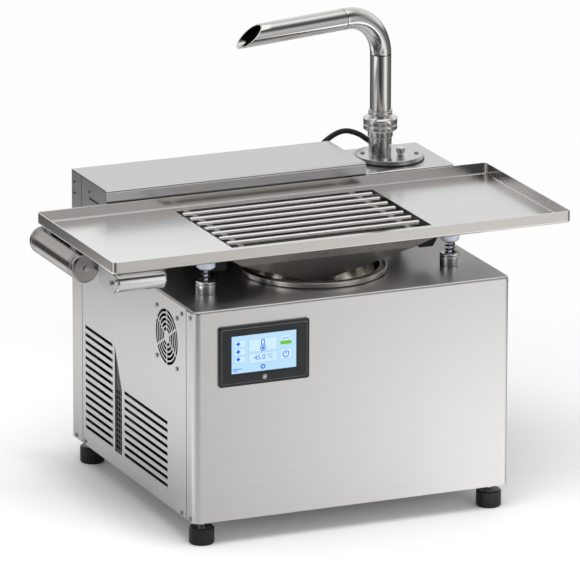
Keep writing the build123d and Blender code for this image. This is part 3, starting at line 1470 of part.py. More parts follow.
# Elbow glands on the rear walls, and the lead that loops between them
gland_top = gland_z + gland_rise
with BuildPart() as lead_glands:
    for x in (lead_left_x, lead_right_x):
        bar(facing_back(casing_depth), -x, gland_z, gland_plate, gland_plate_radius)
        bar(facing_back(rear_wall - gland_plate), -x, gland_z, lead_y - rear_wall + gland_plate,
            gland_stub_radius)
        turned(upright_axis(x, lead_y), [
            (0, gland_z - gland_radius), (gland_radius - gland_edge, gland_z - gland_radius),
            (gland_radius, gland_z - gland_radius + gland_edge), (gland_radius, gland_top),
            (gland_radius - gland_taper, gland_top + gland_taper), (0, gland_top + gland_taper),
        ])
finish(lead_glands, "lead_glands")

lead_low = gland_top + gland_taper
lead_places = [
    (lead_left_x, lead_low), (lead_left_x + lead_rise[0], tower_top + lead_rise[1]),
    (lead_left_x + lead_peak[0], tower_top + lead_peak[1]),
    (lead_left_x + lead_fall[0], tower_top + lead_fall[1]),
    (lead_left_x + lead_drop[0], tower_top + lead_drop[1]), (lead_right_x, lead_low),
]
with BuildPart() as lead:
    with BuildLine() as lead_path:
        Spline(*[spot(x, lead_y, z) for x, z in lead_places], tangents=((0, 0, 1), (0, 0, -1)),
               tangent_scalars=lead_tangent_shares)
    with BuildSketch(Plane(origin=spot(lead_left_x, lead_y, lead_low), z_dir=(0, 0, 1))):
        Circle(lead_radius)
    sweep(path=lead_path.line)
finish(lead, "lead")
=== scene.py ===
# %% [markdown]
# # A chocolate tempering machine, dressed for its picture
# The machine is a stainless casing on four rubber feet. A sprung tray shakes over a heated bowl,
# a pump in the tower lifts the chocolate, and a swivelling spout pours it over the grille.
# The CAD model is loaded first and never moved. Each cell adds one finish or one finer piece to it.

import bmesh
import bpy
import numpy as np
from mathutils import Matrix, Vector


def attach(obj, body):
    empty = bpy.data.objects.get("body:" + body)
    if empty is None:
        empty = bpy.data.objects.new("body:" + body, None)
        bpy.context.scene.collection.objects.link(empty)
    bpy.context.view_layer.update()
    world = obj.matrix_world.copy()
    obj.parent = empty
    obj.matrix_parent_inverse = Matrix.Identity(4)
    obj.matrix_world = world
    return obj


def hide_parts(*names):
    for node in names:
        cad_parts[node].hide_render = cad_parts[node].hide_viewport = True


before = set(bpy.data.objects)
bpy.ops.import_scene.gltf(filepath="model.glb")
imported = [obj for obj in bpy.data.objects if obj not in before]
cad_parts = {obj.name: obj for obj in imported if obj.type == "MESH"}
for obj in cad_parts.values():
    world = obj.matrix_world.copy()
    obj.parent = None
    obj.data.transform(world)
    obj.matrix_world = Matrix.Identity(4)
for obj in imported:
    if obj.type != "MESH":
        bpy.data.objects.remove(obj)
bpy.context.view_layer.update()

# %% [markdown]
# ## Machine coordinates
# The machine was measured in millimetres: x from the casing's middle, y back from its front face
# and z up from the floor. The model itself stands over the middle of its footprint, so one
# shift turns machine millimetres into the model's metres.

# %% Machine millimetres to model metres
machine_middle = np.array([-6.0, 230.25, 0.0])


def metres(points):
    """Machine millimetres, one point or many, as model metres."""
    return (np.asarray(points, float) - machine_middle) / 1000


# %% [markdown]
# ## The camera
# The photograph was taken with a long lens from the front left, a little above the tray. Its
# direction is given by three unit vectors: forward, right and up, worked out from an azimuth,
# an elevation and a slight roll.

# %% Camera at the photograph's angle
azimuth, elevation, roll = np.radians([23.31, 16.06, 0.13])
forward = np.array([np.sin(azimuth) * np.cos(elevation), np.cos(azimuth) * np.cos(elevation),
                    -np.sin(elevation)])
level_right = np.array([np.cos(azimuth), -np.sin(azimuth), 0.0])
level_up = np.cross(level_right, forward)
right = np.cos(roll) * level_right + np.sin(roll) * level_up
up = np.cos(roll) * level_up - np.sin(roll) * level_right
camera_place = (-3760.2, -8508.1, 3017.0)
camera = bpy.data.objects.new("camera", bpy.data.cameras.new("camera"))
camera.data.sensor_width = 36.0
camera.data.lens = 442.6
camera.data.clip_start, camera.data.clip_end = 0.1, 60.0
camera.matrix_world = Matrix.Translation(metres(camera_place)) @ Matrix(
    np.array([right, up, -forward]).T.tolist()).to_4x4()
bpy.context.scene.collection.objects.link(camera)
bpy.context.scene.camera = camera
print("camera stands", round(float(camera.matrix_world.translation.length), 2), "m away")

# %% [markdown]
# ## A material from a few nodes
# Every finish is a Principled shader with something procedural in front of it. These helpers
# make the shader, set its plain numbers, and add grain, bumps and wear on Object coordinates,
# so a pattern keeps its real size and stays on the piece when it moves.

# %% Material helpers
def new_finish(name, color, metallic, roughness, **sockets):
    """A material with one Principled shader; the other keywords set its sockets by name."""
    material = bpy.data.materials.new(name)
    material.use_nodes = True
    shader = material.node_tree.nodes["Principled BSDF"]
    shader.inputs["Base Color"].default_value = (*color, 1.0)
    shader.inputs["Metallic"].default_value = metallic
    shader.inputs["Roughness"].default_value = roughness
    for socket, value in sockets.items():
        shader.inputs[socket.replace("_", " ")].default_value = value
    return material, shader


def node(material, kind, **values):
    """Adds one node; names of inputs use underscores, other names are settings of the node."""
    made = material.node_tree.nodes.new(kind)
    for name, value in values.items():
        if hasattr(made, name):
            setattr(made, name, value)
        else:
            made.inputs[name.replace("_", " ")].default_value = value
    return made


def join(material, start, end):
    """Links an output socket to an input socket."""
    material.node_tree.links.new(start, end)


def noise_on_object(material, stretch, detail=3.0):
    """Noise on Object coordinates, stretched by three numbers: large ones give fine grain."""
    place = node(material, "ShaderNodeTexCoord")
    mapping = node(material, "ShaderNodeMapping", Scale=stretch)
    noise = node(material, "ShaderNodeTexNoise", Scale=1.0, Detail=detail, Roughness=0.6)
    join(material, place.outputs["Object"], mapping.inputs["Vector"])
    join(material, mapping.outputs["Vector"], noise.inputs["Vector"])
    return noise


def ranged(material, value, low, high, start=0.0, end=1.0):
    """A value between low and high, spread over start to end and held beyond them."""
    made = node(material, "ShaderNodeMapRange", From_Min=low, From_Max=high, To_Min=start,
                To_Max=end)
    join(material, value, made.inputs["Value"])
    return made.outputs["Result"]


def calculate(owner, operation, first, second):
    """Two sockets or plain numbers added, multiplied or compared."""
    made = node(owner, "ShaderNodeMath", operation=operation)
    for number, value in enumerate((first, second)):
        if isinstance(value, float):
            made.inputs[number].default_value = value
        else:
            join(owner, value, made.inputs[number])
    return made.outputs[0]


def vary(material, noise, socket, low, high):
    """Drives a socket from a noise: its middle part spreads from low to high."""
    join(material, ranged(material, noise.outputs["Fac"], 0.3, 0.7, low, high), socket)


def bump(material, shader, noise, strength, depth):
    """Lets a noise tilt the surface a little; depth is in metres."""
    lift = node(material, "ShaderNodeBump", Strength=strength, Distance=depth)
    join(material, noise.outputs["Fac"], lift.inputs["Height"])
    join(material, lift.outputs["Normal"], shader.inputs["Normal"])


def tint(material, shader, noise, dark, light):
    """Colours a surface between two close tones after a noise."""
    ramp = node(material, "ShaderNodeValToRGB")
    ramp.color_ramp.elements[0].position, ramp.color_ramp.elements[1].position = 0.32, 0.68
    ramp.color_ramp.elements[0].color = (*dark, 1.0)
    ramp.color_ramp.elements[1].color = (*light, 1.0)
    join(material, noise.outputs["Fac"], ramp.inputs["Fac"])
    join(material, ramp.outputs["Color"], shader.inputs["Base Color"])


def parts_of(material, kind="Object"):
    """The piece's own coordinates, or its own direction of the surface, as X, Y and Z."""
    place = node(material, "ShaderNodeTexCoord")
    parts = node(material, "ShaderNodeSeparateXYZ")
    join(material, place.outputs[kind], parts.inputs["Vector"])
    return parts.outputs


def toned(material, share, tone):
    """Moves the colour of a finished shader towards a tone by a share."""
    shader = material.node_tree.nodes["Principled BSDF"]
    before = shader.inputs["Base Color"].links[0].from_socket
    mix = node(material, "ShaderNodeMix", data_type="RGBA")
    share_in, color_from, color_to = mix.inputs[0], mix.inputs[6], mix.inputs[7]
    join(material, share, share_in)
    join(material, before, color_from)
    color_to.default_value = (*tone, 1.0)
    join(material, mix.outputs[2], shader.inputs["Base Color"])


# %% [markdown]
# ## Stainless steel in several finishes
# Brushed sheet has fine scratches in one direction: noise that is stretched a long way along
# the brushing, in both the roughness and the bump. Polished sheet keeps only a trace of it.
# Turned parts were polished on the lathe, so their faint rings run round the axis.

# %% Steel finishes
scratch_depth = 0.00005


def steel(name, tone, roughness, spread, grain, strength, metallic=1.0):
    """Stainless steel: its scratches are a noise stretched by grain, darker where it is low."""
    material, shader = new_finish(name, tone, metallic, roughness)
    scratches = noise_on_object(material, grain, 4.0)
    vary(material, scratches, shader.inputs["Roughness"], roughness - spread, roughness + spread)
    bump(material, shader, scratches, strength, scratch_depth)
    darker = tuple(value * 0.93 for value in tone)
    tint(material, shader, scratches, darker, tone)
    return material


casing_steel = steel("brushed casing steel", (0.70, 0.69, 0.68), 0.34, 0.05, (6, 6, 1400), 0.12)
tower_steel = steel("brushed tower steel", (0.665, 0.66, 0.66), 0.25, 0.03, (5, 1200, 900), 0.04)
tray_steel = steel("brushed tray steel", (0.77, 0.77, 0.775), 0.22, 0.025, (4, 1300, 500), 0.05)
turned_steel = steel("turned polished steel", (0.80, 0.79, 0.775), 0.11, 0.02, (4, 4, 1600), 0.012)
tube_steel = steel("drawn spout tube", (0.80, 0.79, 0.77), 0.10, 0.02, (700, 700, 9), 0.010)
dull_steel = steel("fine turned steel", (0.33, 0.315, 0.30), 0.20, 0.03, (4, 1600, 4), 0.02)
grille_steel = steel("polished grille rod", (0.93, 0.91, 0.89), 0.30, 0.03, (9, 900, 900), 0.01)
ground_steel = steel("ground steel tube", (0.40, 0.38, 0.36), 0.16, 0.02, (4, 1600, 4), 0.02)
inner_steel = steel("plain inner steel", (0.40, 0.40, 0.41), 0.40, 0.06, (60, 60, 60), 0.10)
bowl_steel = steel("spun bowl steel", (0.80, 0.76, 0.72), 0.12, 0.02, (40, 40, 900), 0.04)
funnel_steel = steel("folded funnel steel", (0.42, 0.395, 0.37), 0.30, 0.04, (500, 500, 8), 0.06,
                     0.65)
screw_steel = steel("screw steel", (0.42, 0.41, 0.40), 0.25, 0.05, (200, 200, 200), 0.1)
fin_metal = steel("fin aluminium", (0.62, 0.63, 0.65), 0.38, 0.06, (200, 200, 200), 0.1)

# %% [markdown]
# Some places have light and shade painted into their colour. The tray's folded rim is painted
# darker than its floor, a painted reflection of a darker part of the room, while the edge on top
# of the rim stays bright. The tray's floor is painted brighter to the left, a painted reflection.
# The funnel is painted dark inside, on the faces that look up: painted shade. Places are in
# metres on the piece's own axes.

# %% Painted light and shade on the tray and the funnel
tray_at = parts_of(tray_steel)
# The tray's floor is painted lighter towards its left: a painted reflection.
painted_light_to_left = ranged(tray_steel, tray_at["X"], -0.30, 0.05, 1.0, 0.0)
toned(tray_steel, painted_light_to_left, (0.90, 0.90, 0.905))
# The rim's faces below its top edge are painted darker: a painted reflection of a darker part of
# the room.
above_floor = ranged(tray_steel, tray_at["Z"], 0.3922, 0.3940)
below_edge = ranged(tray_steel, tray_at["Z"], 0.4060, 0.4067, 1.0, 0.0)
front_face = ranged(tray_steel, tray_at["Y"], -0.1999, -0.1990, 1.0, 0.0)
rim = calculate(tray_steel, "MAXIMUM", above_floor, front_face)
toned(tray_steel, calculate(tray_steel, "MULTIPLY", rim, below_edge), (0.60, 0.57, 0.54))
# The funnel's faces that look up are painted nearly black: painted shade inside the funnel.
painted_shade_in_funnel = ranged(funnel_steel, parts_of(funnel_steel, "Normal")["Z"], 0.02, 0.10)
toned(funnel_steel, painted_shade_in_funnel, (0.055, 0.047, 0.040))
print("tones set on", tray_steel.name, "and", funnel_steel.name)

# %% [markdown]
# ## Rubber, plastic and paint
# Black rubber and plastic are never flat black: a soft mottling in their gloss, and a fine
# grain in the surface, make them read as moulded. The pucks under the tray are glossy white
# plastic, and the springs are black lacquered wire.

# %% Dark and white finishes
grain_depth = 0.0001


def moulded(name, tone, roughness, spread, scale, strength, **sockets):
    """Moulded or lacquered stuff with mottled gloss and a fine grain."""
    material, shader = new_finish(name, tone, 0.0, roughness, **sockets)
    mottle = noise_on_object(material, (scale, scale, scale), 5.0)
    vary(material, mottle, shader.inputs["Roughness"], roughness - spread, roughness + spread)
    bump(material, shader, mottle, strength, grain_depth)
    lighter = tuple(min(1.0, value * 1.3 + 0.002) for value in tone)
    tint(material, shader, mottle, tone, lighter)
    return material


foot_rubber = moulded("foot rubber", (0.006, 0.006, 0.006), 0.30, 0.06, 260, 0.12,
                      Specular_IOR_Level=0.35)
soft_rubber = moulded("soft black rubber", (0.008, 0.008, 0.008), 0.45, 0.08, 420, 0.15,
                      Specular_IOR_Level=0.35)
black_plastic = moulded("black plastic", (0.007, 0.007, 0.008), 0.34, 0.06, 900, 0.10,
                        Specular_IOR_Level=0.35)
grey_plastic = moulded("grey plastic", (0.05, 0.05, 0.055), 0.45, 0.06, 700, 0.12)
white_plastic = moulded("glossy white plastic", (0.62, 0.66, 0.78), 0.16, 0.04, 120, 0.03,
                        Coat_Weight=0.5)
spring_lacquer = moulded("black spring lacquer", (0.008, 0.008, 0.008), 0.28, 0.06, 700, 0.1)
motor_paint = moulded("dark motor paint", (0.04, 0.042, 0.045), 0.42, 0.08, 500, 0.12)
bezel_gloss = moulded("glossy black bezel", (0.010, 0.011, 0.012), 0.14, 0.03, 60, 0.02,
                      Specular_IOR_Level=0.35)
edge_grey = moulded("pale frame line", (0.16, 0.16, 0.165), 0.35, 0.05, 500, 0.05)
printed_grey = moulded("printed grey sign", (0.42, 0.42, 0.43), 0.4, 0.05, 500, 0.05)
seam_black = moulded("dark weld line", (0.010, 0.009, 0.008), 0.5, 0.1, 900, 0.2,
                     Specular_IOR_Level=0.2)

# %% [markdown]
# ## Dressing the CAD pieces
# Where a CAD piece already has the right shape it only needs its finish. The table goes from
# finish to pieces, and each finish is put into the piece's first material slot.

# %% Finishes of the CAD pieces
dressed = {
    casing_steel: ["left_side_panel", "right_side_panel", "rear_shell", "base_pan", "front_shell"],
    tower_steel: ["pump_cover", "tower_cover", "grip_bracket", "vibrator_saddles", "pump_flange"],
    tray_steel: ["tray"],
    grille_steel: ["tray_grille"],
    turned_steel: ["riser_pipe", "union_nut", "spout_ferrule", "post_cups",
                   "hand_grip", "vibrator_caps", "stirrer", "auger", "transfer_pipe",
                   "pump_barrel", "flange_knob", "foot_studs"],
    tube_steel: ["spout_tube", "spout_elbow", "spout_outlet"],
    ground_steel: ["vibrator_housing"],
    bowl_steel: ["bowl"],
    funnel_steel: ["drip_funnel"],
    inner_steel: ["inner_frame", "vibrator_shaft", "bowl_heater"],
    screw_steel: ["casing_screws", "flange_screws", "tray_bolts"],
    foot_rubber: ["foot_front_left", "foot_front_right", "foot_rear_left", "foot_rear_right"],
    soft_rubber: ["bowl_gasket", "flange_gasket", "funnel_hangers", "lead"],
    black_plastic: ["home_button", "fan_frame", "fan_rotor", "power_inlet", "power_rocker",
                    "lead_glands", "vent_mesh"],
    bezel_gloss: ["hmi_bezel", "hmi_glass"],
    grey_plastic: ["hmi_housing"],
    white_plastic: ["tray_pucks"],
    spring_lacquer: ["tray_springs"],
    motor_paint: ["stirrer_motor", "pump_motor", "compressor"],
    fin_metal: ["condenser"],
}
for finish, names in dressed.items():
    for name in names:
        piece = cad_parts[name]
        piece.data.materials.clear()
        piece.data.materials.append(finish)
undressed = set(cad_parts) - {name for names in dressed.values() for name in names}
print("finishes on", len(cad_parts) - len(undressed), "CAD pieces, left bare:", undressed)

# %% [markdown]
# ## Surfaces from grids
# A finer piece is a grid of points: one parameter runs along it and one round it. Neighbouring
# points make four-sided faces, doubles at seams and poles are merged, and the faces are turned
# outwards. Edges sharper than a set angle stay crisp, and the rest is shaded smooth.

# %% Grid helpers
def put(name, mesh, body, finish, stands_for=()):
    """Puts a mesh into the scene with its finish, slot and body, and hides what it stands for."""
    mesh.materials.clear()
    mesh.materials.append(finish)
    piece = bpy.data.objects.new(name, mesh)
    bpy.context.scene.collection.objects.link(piece)
    if stands_for:
        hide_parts(*stands_for)
    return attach(piece, body)


def surface(name, grids, body, finish, stands_for=(), crisp=38.0):
    """One piece from grids of machine millimetres, each an array of rows, columns and 3."""
    points, faces, first = [], [], 0
    for grid in grids:
        rows, columns = grid.shape[:2]
        index = np.arange(rows * columns).reshape(rows, columns) + first
        faces.append(np.stack([index[:-1, :-1], index[1:, :-1], index[1:, 1:], index[:-1, 1:]],
                              axis=-1).reshape(-1, 4))
        points.append(grid.reshape(-1, 3))
        first += rows * columns
    mesh = bpy.data.meshes.new(name)
    mesh.from_pydata(metres(np.concatenate(points)).tolist(), [], np.concatenate(faces).tolist())
    made = bmesh.new()
    made.from_mesh(mesh)
    bmesh.ops.remove_doubles(made, verts=made.verts, dist=2e-6)
    bmesh.ops.dissolve_degenerate(made, edges=made.edges, dist=1e-7)
    bmesh.ops.recalc_face_normals(made, faces=made.faces)
    made.to_mesh(mesh)
    made.free()
    mesh.shade_smooth()
    mesh.set_sharp_from_angle(angle=float(np.radians(crisp)))
    return put(name, mesh, body, finish, stands_for)


def frame_on(axis):
    """Two unit vectors square to an axis and to each other."""
    axis = np.asarray(axis, float) / np.linalg.norm(axis)
    side = np.cross(axis, (0.0, 0.0, 1.0) if abs(axis[2]) < 0.9 else (0.0, 1.0, 0.0))
    side /= np.linalg.norm(side)
    return side, np.cross(axis, side), axis


def around(profile, place, axis=(0, 0, 1), turns=96):
    """A profile of radius and height carried round an axis: at each angle a, place + radius
    (cos a side + sin a other) + height axis."""
    side, other, axis = frame_on(axis)
    radius, height = np.asarray(profile, float).T
    angle = np.linspace(0, 2 * np.pi, turns + 1)
    ring = np.cos(angle)[:, None] * side + np.sin(angle)[:, None] * other
    return np.asarray(place, float) + radius[:, None, None] * ring + height[:, None, None] * axis


def soften(profile, edge, steps=4):
    """Each inner corner of a profile becomes a quadratic curve that starts edge before it, or
    at the middle of a short side: (1-t)^2 start + 2t(1-t) corner + t^2 end."""
    points = np.asarray(profile, float)
    t = np.linspace(0, 1, steps + 1)[:, None]
    before, corner, after = points[:-2], points[1:-1], points[2:]
    back, on = before - corner, after - corner
    length_back = np.linalg.norm(back, axis=1, keepdims=True)
    length_on = np.linalg.norm(on, axis=1, keepdims=True)
    start = corner + back / length_back * np.minimum(edge, length_back * 0.48)
    end = corner + on / length_on * np.minimum(edge, length_on * 0.48)
    curves = ((1 - t) ** 2 * start[:, None] + 2 * t * (1 - t) * corner[:, None]
              + t ** 2 * end[:, None])
    return np.concatenate([points[:1], curves.reshape(-1, 2), points[-1:]])


# %% [markdown]
# ## The spout
# A drawn tube stands in its ferrule, turns through a quarter bend and runs out over the grille.
# Its end is cut back at the top, so the chocolate leaves as a broad sheet. Each length is a
# pipe: the outer wall from end to end, the rim, and the inner wall back again, closed on itself.

# %% A pipe along a line
pump_axis = np.array([204.0, 372.0, 0.0])
spout_yaw = np.radians(14.0)
spout_way = np.array([-np.cos(spout_yaw), -np.sin(spout_yaw), 0.0])
spout_side = np.cross(spout_way, (0.0, 0.0, 1.0))
tube_radius, tube_bore = 15.0, 13.5
tube_low, bend_low, bend_radius, bend_tail, spout_reach = 483.3, 563.3, 60.0, 9.0, 250.5
mouth_set_back = 38.5
turn = np.linspace(0, 2 * np.pi, 97)


def pipe(centres, firsts, seconds, edge=0.4):
    """A tube along centres, with its cross-section spanned by two unit vectors at each centre:
    centre + r (cos a first + sin a second), the outer wall on the way out and the inner wall on
    the way back."""
    lean = np.full(len(centres), tube_radius)
    lean[[0, -1]] -= edge
    radii = np.concatenate([lean, np.full(len(centres), tube_bore), lean[:1]])
    order = np.concatenate([np.arange(len(centres)), np.arange(len(centres))[::-1], [0]])
    ring = (np.cos(turn)[None, :, None] * firsts[order][:, None]
            + np.sin(turn)[None, :, None] * seconds[order][:, None])
    return centres[order][:, None] + radii[:, None, None] * ring


def spread(values, edge=0.4):
    """The same stations with one more close to each end, where the rim is broken."""
    return np.concatenate([values[:1], [values[0] + edge], values[1:-1], [values[-1] - edge],
                           values[-1:]])


# %% [markdown]
# The tube stands on the ferrule, and the bend's centres lie on a quarter circle. The outlet's
# slanted end comes from shortening each line along the pipe by its height in the section.
# Narrow dark weld lines go round both ends of the bend.

# %% Spout tube, bend and outlet
vertical = np.array([0.0, 0.0, 1.0])
heights = spread(np.linspace(tube_low, bend_low, 6))
upright = pump_axis + heights[:, None] * vertical
surface("spout_tube_drawn", [pipe(upright, np.tile(spout_way, (len(heights), 1)),
                                  np.tile(spout_side, (len(heights), 1)))],
        "spout", tube_steel, ["spout_tube"])
bend = np.linspace(0, np.pi / 2, 33)[:, None]
outward = -spout_way * np.cos(bend) + vertical * np.sin(bend)
bend_middle = pump_axis + vertical * bend_low + spout_way * bend_radius
bend_end = bend_middle + vertical * bend_radius
tail = bend_end + spout_way * np.linspace(3.0, bend_tail, 3)[:, None]
bend_line = np.concatenate([bend_middle + bend_radius * outward, tail])
surface("spout_bend_drawn",
        [pipe(bend_line, np.concatenate([outward, np.tile(vertical, (len(tail), 1))]),
              np.tile(spout_side, (len(bend_line), 1)))],
        "spout", tube_steel, ["spout_elbow"])
outlet_start = bend_end + spout_way * bend_tail
outlet_length = spout_reach - bend_radius - bend_tail
share = spread(np.linspace(0, 1, 9), 0.002)
radius_out = np.where((share == 0) | (share == 1), tube_radius - 0.3, tube_radius)
walls = np.concatenate([radius_out, np.full(len(share), tube_bore), radius_out[:1]])[:, None]
share = np.concatenate([share, share[::-1], share[:1]])[:, None]
rise = walls * np.sin(turn)[None]
reach = share * (outlet_length - mouth_set_back * (rise + tube_radius) / (2 * tube_radius))
outlet = (outlet_start + reach[..., None] * spout_way + rise[..., None] * vertical
          + (walls * np.cos(turn)[None])[..., None] * spout_side)
surface("spout_outlet_drawn", [outlet], "spout", tube_steel, ["spout_outlet"])
bead = [(tube_radius - 0.6, -0.55), (tube_radius + 0.12, -0.4), (tube_radius + 0.2, 0.0),
        (tube_radius + 0.12, 0.4), (tube_radius - 0.6, 0.55), (tube_radius - 0.6, -0.55)]
surface("spout_weld_lines", [around(bead, pump_axis + vertical * bend_low),
                             around(bead, outlet_start, spout_way)],
        "spout", seam_black)
print("spout reaches", spout_reach, "mm from the pump's axis")

# %% [markdown]
# ## Riser, union nut and ferrule
# The riser is a turned pipe with a collar. The union nut hooks under the collar and pulls the
# spout's ferrule down on it, and the ferrule swivels in the nut. All three are closed lathe
# profiles whose corners are broken by a few tenths, which is what catches the light.

# %% Turned joint of the spout
riser_profile = soften([(13.5, 415.6), (16.3, 415.6), (16.3, 443.4), (16.9, 444.3), (17.7, 444.3),
                        (17.7, 462.2), (13.5, 462.2), (13.5, 415.6)], 0.4)
surface("turned_riser", [around(riser_profile, pump_axis)], "casing", turned_steel,
        ["riser_pipe"])
nut_profile = soften([(18.05, 453.4), (21.5, 453.4), (24.0, 455.9), (24.0, 461.6), (23.3, 462.2),
                      (23.3, 463.0), (24.0, 463.6), (24.0, 471.0), (21.5, 473.5), (15.95, 473.5),
                      (15.95, 468.1), (18.05, 468.1), (18.05, 453.4)], 0.5)
surface("turned_union_nut", [around(nut_profile, pump_axis)], "union_nut_body", turned_steel,
        ["union_nut"])
ferrule_profile = soften([(13.5, 462.7), (17.7, 462.7), (17.7, 467.6), (15.6, 467.6), (15.6, 476.4),
                          (17.0, 477.0), (17.0, 480.2), (16.4, 480.6), (16.4, 481.2), (17.0, 481.6),
                          (17.0, 483.2), (13.5, 483.2), (13.5, 462.7)], 0.35)
surface("turned_ferrule", [around(ferrule_profile, pump_axis)], "spout", turned_steel,
        ["spout_ferrule"])

# %% [markdown]
# ## Springs under the tray
# Each corner of the tray sits on a compression spring, half hidden in its cup. The wire is a
# circle carried along a helix, and the last half turn at both ends lies flat, as on a real
# spring that was closed and ground.

# %% Wound springs
posts = [(-182.0, 85.0), (182.0, 85.0), (-182.0, 262.0), (182.0, 262.0)]
spring_low, spring_high, spring_radius, wire = 337.3, 367.7, 6.1, 1.1
wire_turns, flat_share = 6.0, 0.08
coil = np.linspace(0, 1, 241)
wind = 2 * np.pi * wire_turns * coil
climb = (np.clip((coil - flat_share) / (1 - 2 * flat_share), 0, 1)
         * (spring_high - spring_low - 2 * wire) + spring_low + wire)
line = np.stack([spring_radius * np.cos(wind), spring_radius * np.sin(wind), climb], -1)
tangent = np.gradient(line, axis=0)
tangent /= np.linalg.norm(tangent, axis=1, keepdims=True)
outer = np.stack([np.cos(wind), np.sin(wind), np.zeros_like(wind)], -1)
upper = np.cross(tangent, outer)
section = np.linspace(0, 2 * np.pi, 11)
thick = np.where((coil == 0) | (coil == 1), 1e-6, wire)[:, None, None]
wound = line[:, None] + thick * (np.cos(section)[None, :, None] * outer[:, None]
                                 + np.sin(section)[None, :, None] * upper[:, None])
surface("wound_springs", [wound + (x, y, 0.0) for x, y in posts], "tray", spring_lacquer,
        ["tray_springs"])
print("springs of", wire_turns, "turns")

# %% [markdown]
# ## Cups round the springs
# Each spring stands in a turned cup on the deck. The cup's profile is drawn once, with a groove
# under its machined lip, its corners are softened, and it is carried round each post's axis.

# %% Turned cups
cup_profile = soften([(8.05, 351), (13.0, 351), (14.0, 349.6), (14.0, 347.6), (13.4, 347.0),
                      (13.4, 346.2), (14.0, 345.6), (14.0, 333.2), (8.05, 333.2), (8.05, 351)], 0.5)
surface("turned_cups", [around(cup_profile, (x, y, 0)) for x, y in posts], "casing", turned_steel,
        ["post_cups"])

# %% [markdown]
# ## The vibrator's caps
# Under the tray's left rim hangs a ground steel tube, the CAD piece, with a press-fitted cap at
# each end. The caps are closed lathe profiles with a groove, on a level axis from front to back.

# %% Vibrator caps
vibrator_axis = np.array([-332.0, 0.0, 367.0])
cap_profile = soften([(0, 147.6), (17.6, 147.6), (20.0, 149.6), (20.0, 156.6), (19.2, 157.2),
                      (19.2, 158.0), (20.0, 158.6), (20.0, 167.4), (0, 167.4)], 0.5)
rear_profile = soften([(0, 290.2), (20.0, 290.2), (20.0, 299.0), (19.2, 299.6), (19.2, 300.4),
                       (20.0, 301.0), (20.0, 308.0), (17.6, 310.0), (0, 310.0)], 0.5)
surface("turned_vibrator_caps", [around(cap_profile, vibrator_axis, (0, 1, 0)),
                                 around(rear_profile, vibrator_axis, (0, 1, 0))],
        "tray", dull_steel, ["vibrator_caps"])

# %% [markdown]
# ## The grip
# In front of the vibrator a solid turned grip, to tilt the tray by, lies level from left to
# right. Its ends are rounded more than the other turned parts.

# %% Hand grip
grip_profile = soften([(0, -330.5), (11.5, -330.5), (14.0, -328.0), (14.0, -260.0), (11.5, -257.5),
                       (0, -257.5)], 1.6, 6)
grip_axis = (0, 51.0, 373.0)
surface("turned_grip", [around(grip_profile, grip_axis, (1, 0, 0))], "tray", turned_steel,
        ["hand_grip"])

# %% [markdown]
# ## The flange's locking knob
# A small turned knob with a waist stands on the flange, in front of the riser.

# %% Waisted knob
knob_axis = (231.0, 362.0, 0)
knob_profile = soften([(0, 415.8), (4.6, 415.8), (5.0, 416.6), (4.3, 418.2), (4.6, 419.6),
                       (6.5, 420.4), (6.5, 426.0), (5.6, 427.3), (0, 427.3)], 0.5)
surface("turned_knob", [around(knob_profile, knob_axis)], "flange_knob_body", turned_steel,
        ["flange_knob"])

# %% [markdown]
# ## The lead on the tower
# A short black lead leaves one elbow gland behind the tower, lies over its rear edge and goes
# into the next gland. It is held at both ends. The wire is a circle carried along a smooth
# curve through the route's points.

# %% Lead over the tower's edge
lead_y, lead_radius = 458.0, 0.0039
route = np.array([(143.0, 395.0), (143.4, 404.0), (155.0, 420.5), (182.8, 434.6), (207.0, 427.5),
                  (224.8, 414.0), (241.0, 402.0), (242.0, 395.0)])
lead_curve = bpy.data.curves.new("lead route", "CURVE")
lead_curve.dimensions = "3D"
lead_line = lead_curve.splines.new("NURBS")
lead_line.points.add(len(route) - 1)
for point, (x, z) in zip(lead_line.points, route):
    point.co = (*metres((x, lead_y, z)), 1.0)
lead_line.order_u, lead_line.use_endpoint_u = 3, True
lead_curve.bevel_depth = lead_radius
lead_curve.bevel_resolution, lead_curve.resolution_u = 6, 10
lead_curve.use_fill_caps = True
lead_holder = bpy.data.objects.new("lead holder", lead_curve)
lead_mesh = bpy.data.meshes.new_from_object(lead_holder)
bpy.data.objects.remove(lead_holder)
lead_mesh.shade_smooth()
put("lead_drawn", lead_mesh, "casing", soft_rubber, ["lead"])
print("lead has", len(lead_mesh.vertices), "points")

# %% [markdown]
# ## The touch panel's frame
# The frame is moulded with a low outer border, a thin pale line where the raised middle starts,
# and a flat middle with the glass sunk in it. Its outlines are rounded rectangles set in by a
# few millimetres each, and each pair of neighbouring outlines is joined by a band of faces.

# %% Outlines that stand upright
def rounded(x0, z0, x1, z1, radius, steps=6):
    """A rectangle with quarter circles at its corners."""
    quarter = np.linspace(0, np.pi / 2, steps)
    corners = [(x1 - radius, z1 - radius, 0), (x0 + radius, z1 - radius, 1),
               (x0 + radius, z0 + radius, 2), (x1 - radius, z0 + radius, 3)]
    return np.concatenate([np.stack([x + radius * np.cos(quarter + n * np.pi / 2),
                                     z + radius * np.sin(quarter + n * np.pi / 2)], -1)
                           for x, z, n in corners])


def standing(rings):
    """Rows of a grid from pairs of an outline in x and z and its place y."""
    rows = []
    for outline, y in rings:
        closed = np.concatenate([outline, outline[:1]])
        rows.append(np.stack([closed[:, 0], np.full(len(closed), y), closed[:, 1]], -1))
    return np.stack(rows)


frame_box = np.array([-199.5, 224.1, -66.5, 308.6])
glass_box = np.array([-182.0, 239.8, -84.0, 295.8])
inward = np.array([1.0, 1.0, -1.0, -1.0])
back_y, inside_y, border_y, line_y, middle_y = -0.1, -1.0, -3.3, -3.6, -4.7


def frame_ring(inset, y):
    """The frame's outline set in by some millimetres, at a place y."""
    return rounded(*(frame_box + inset * inward), max(0.8, 3.4 - inset * 0.45)), y


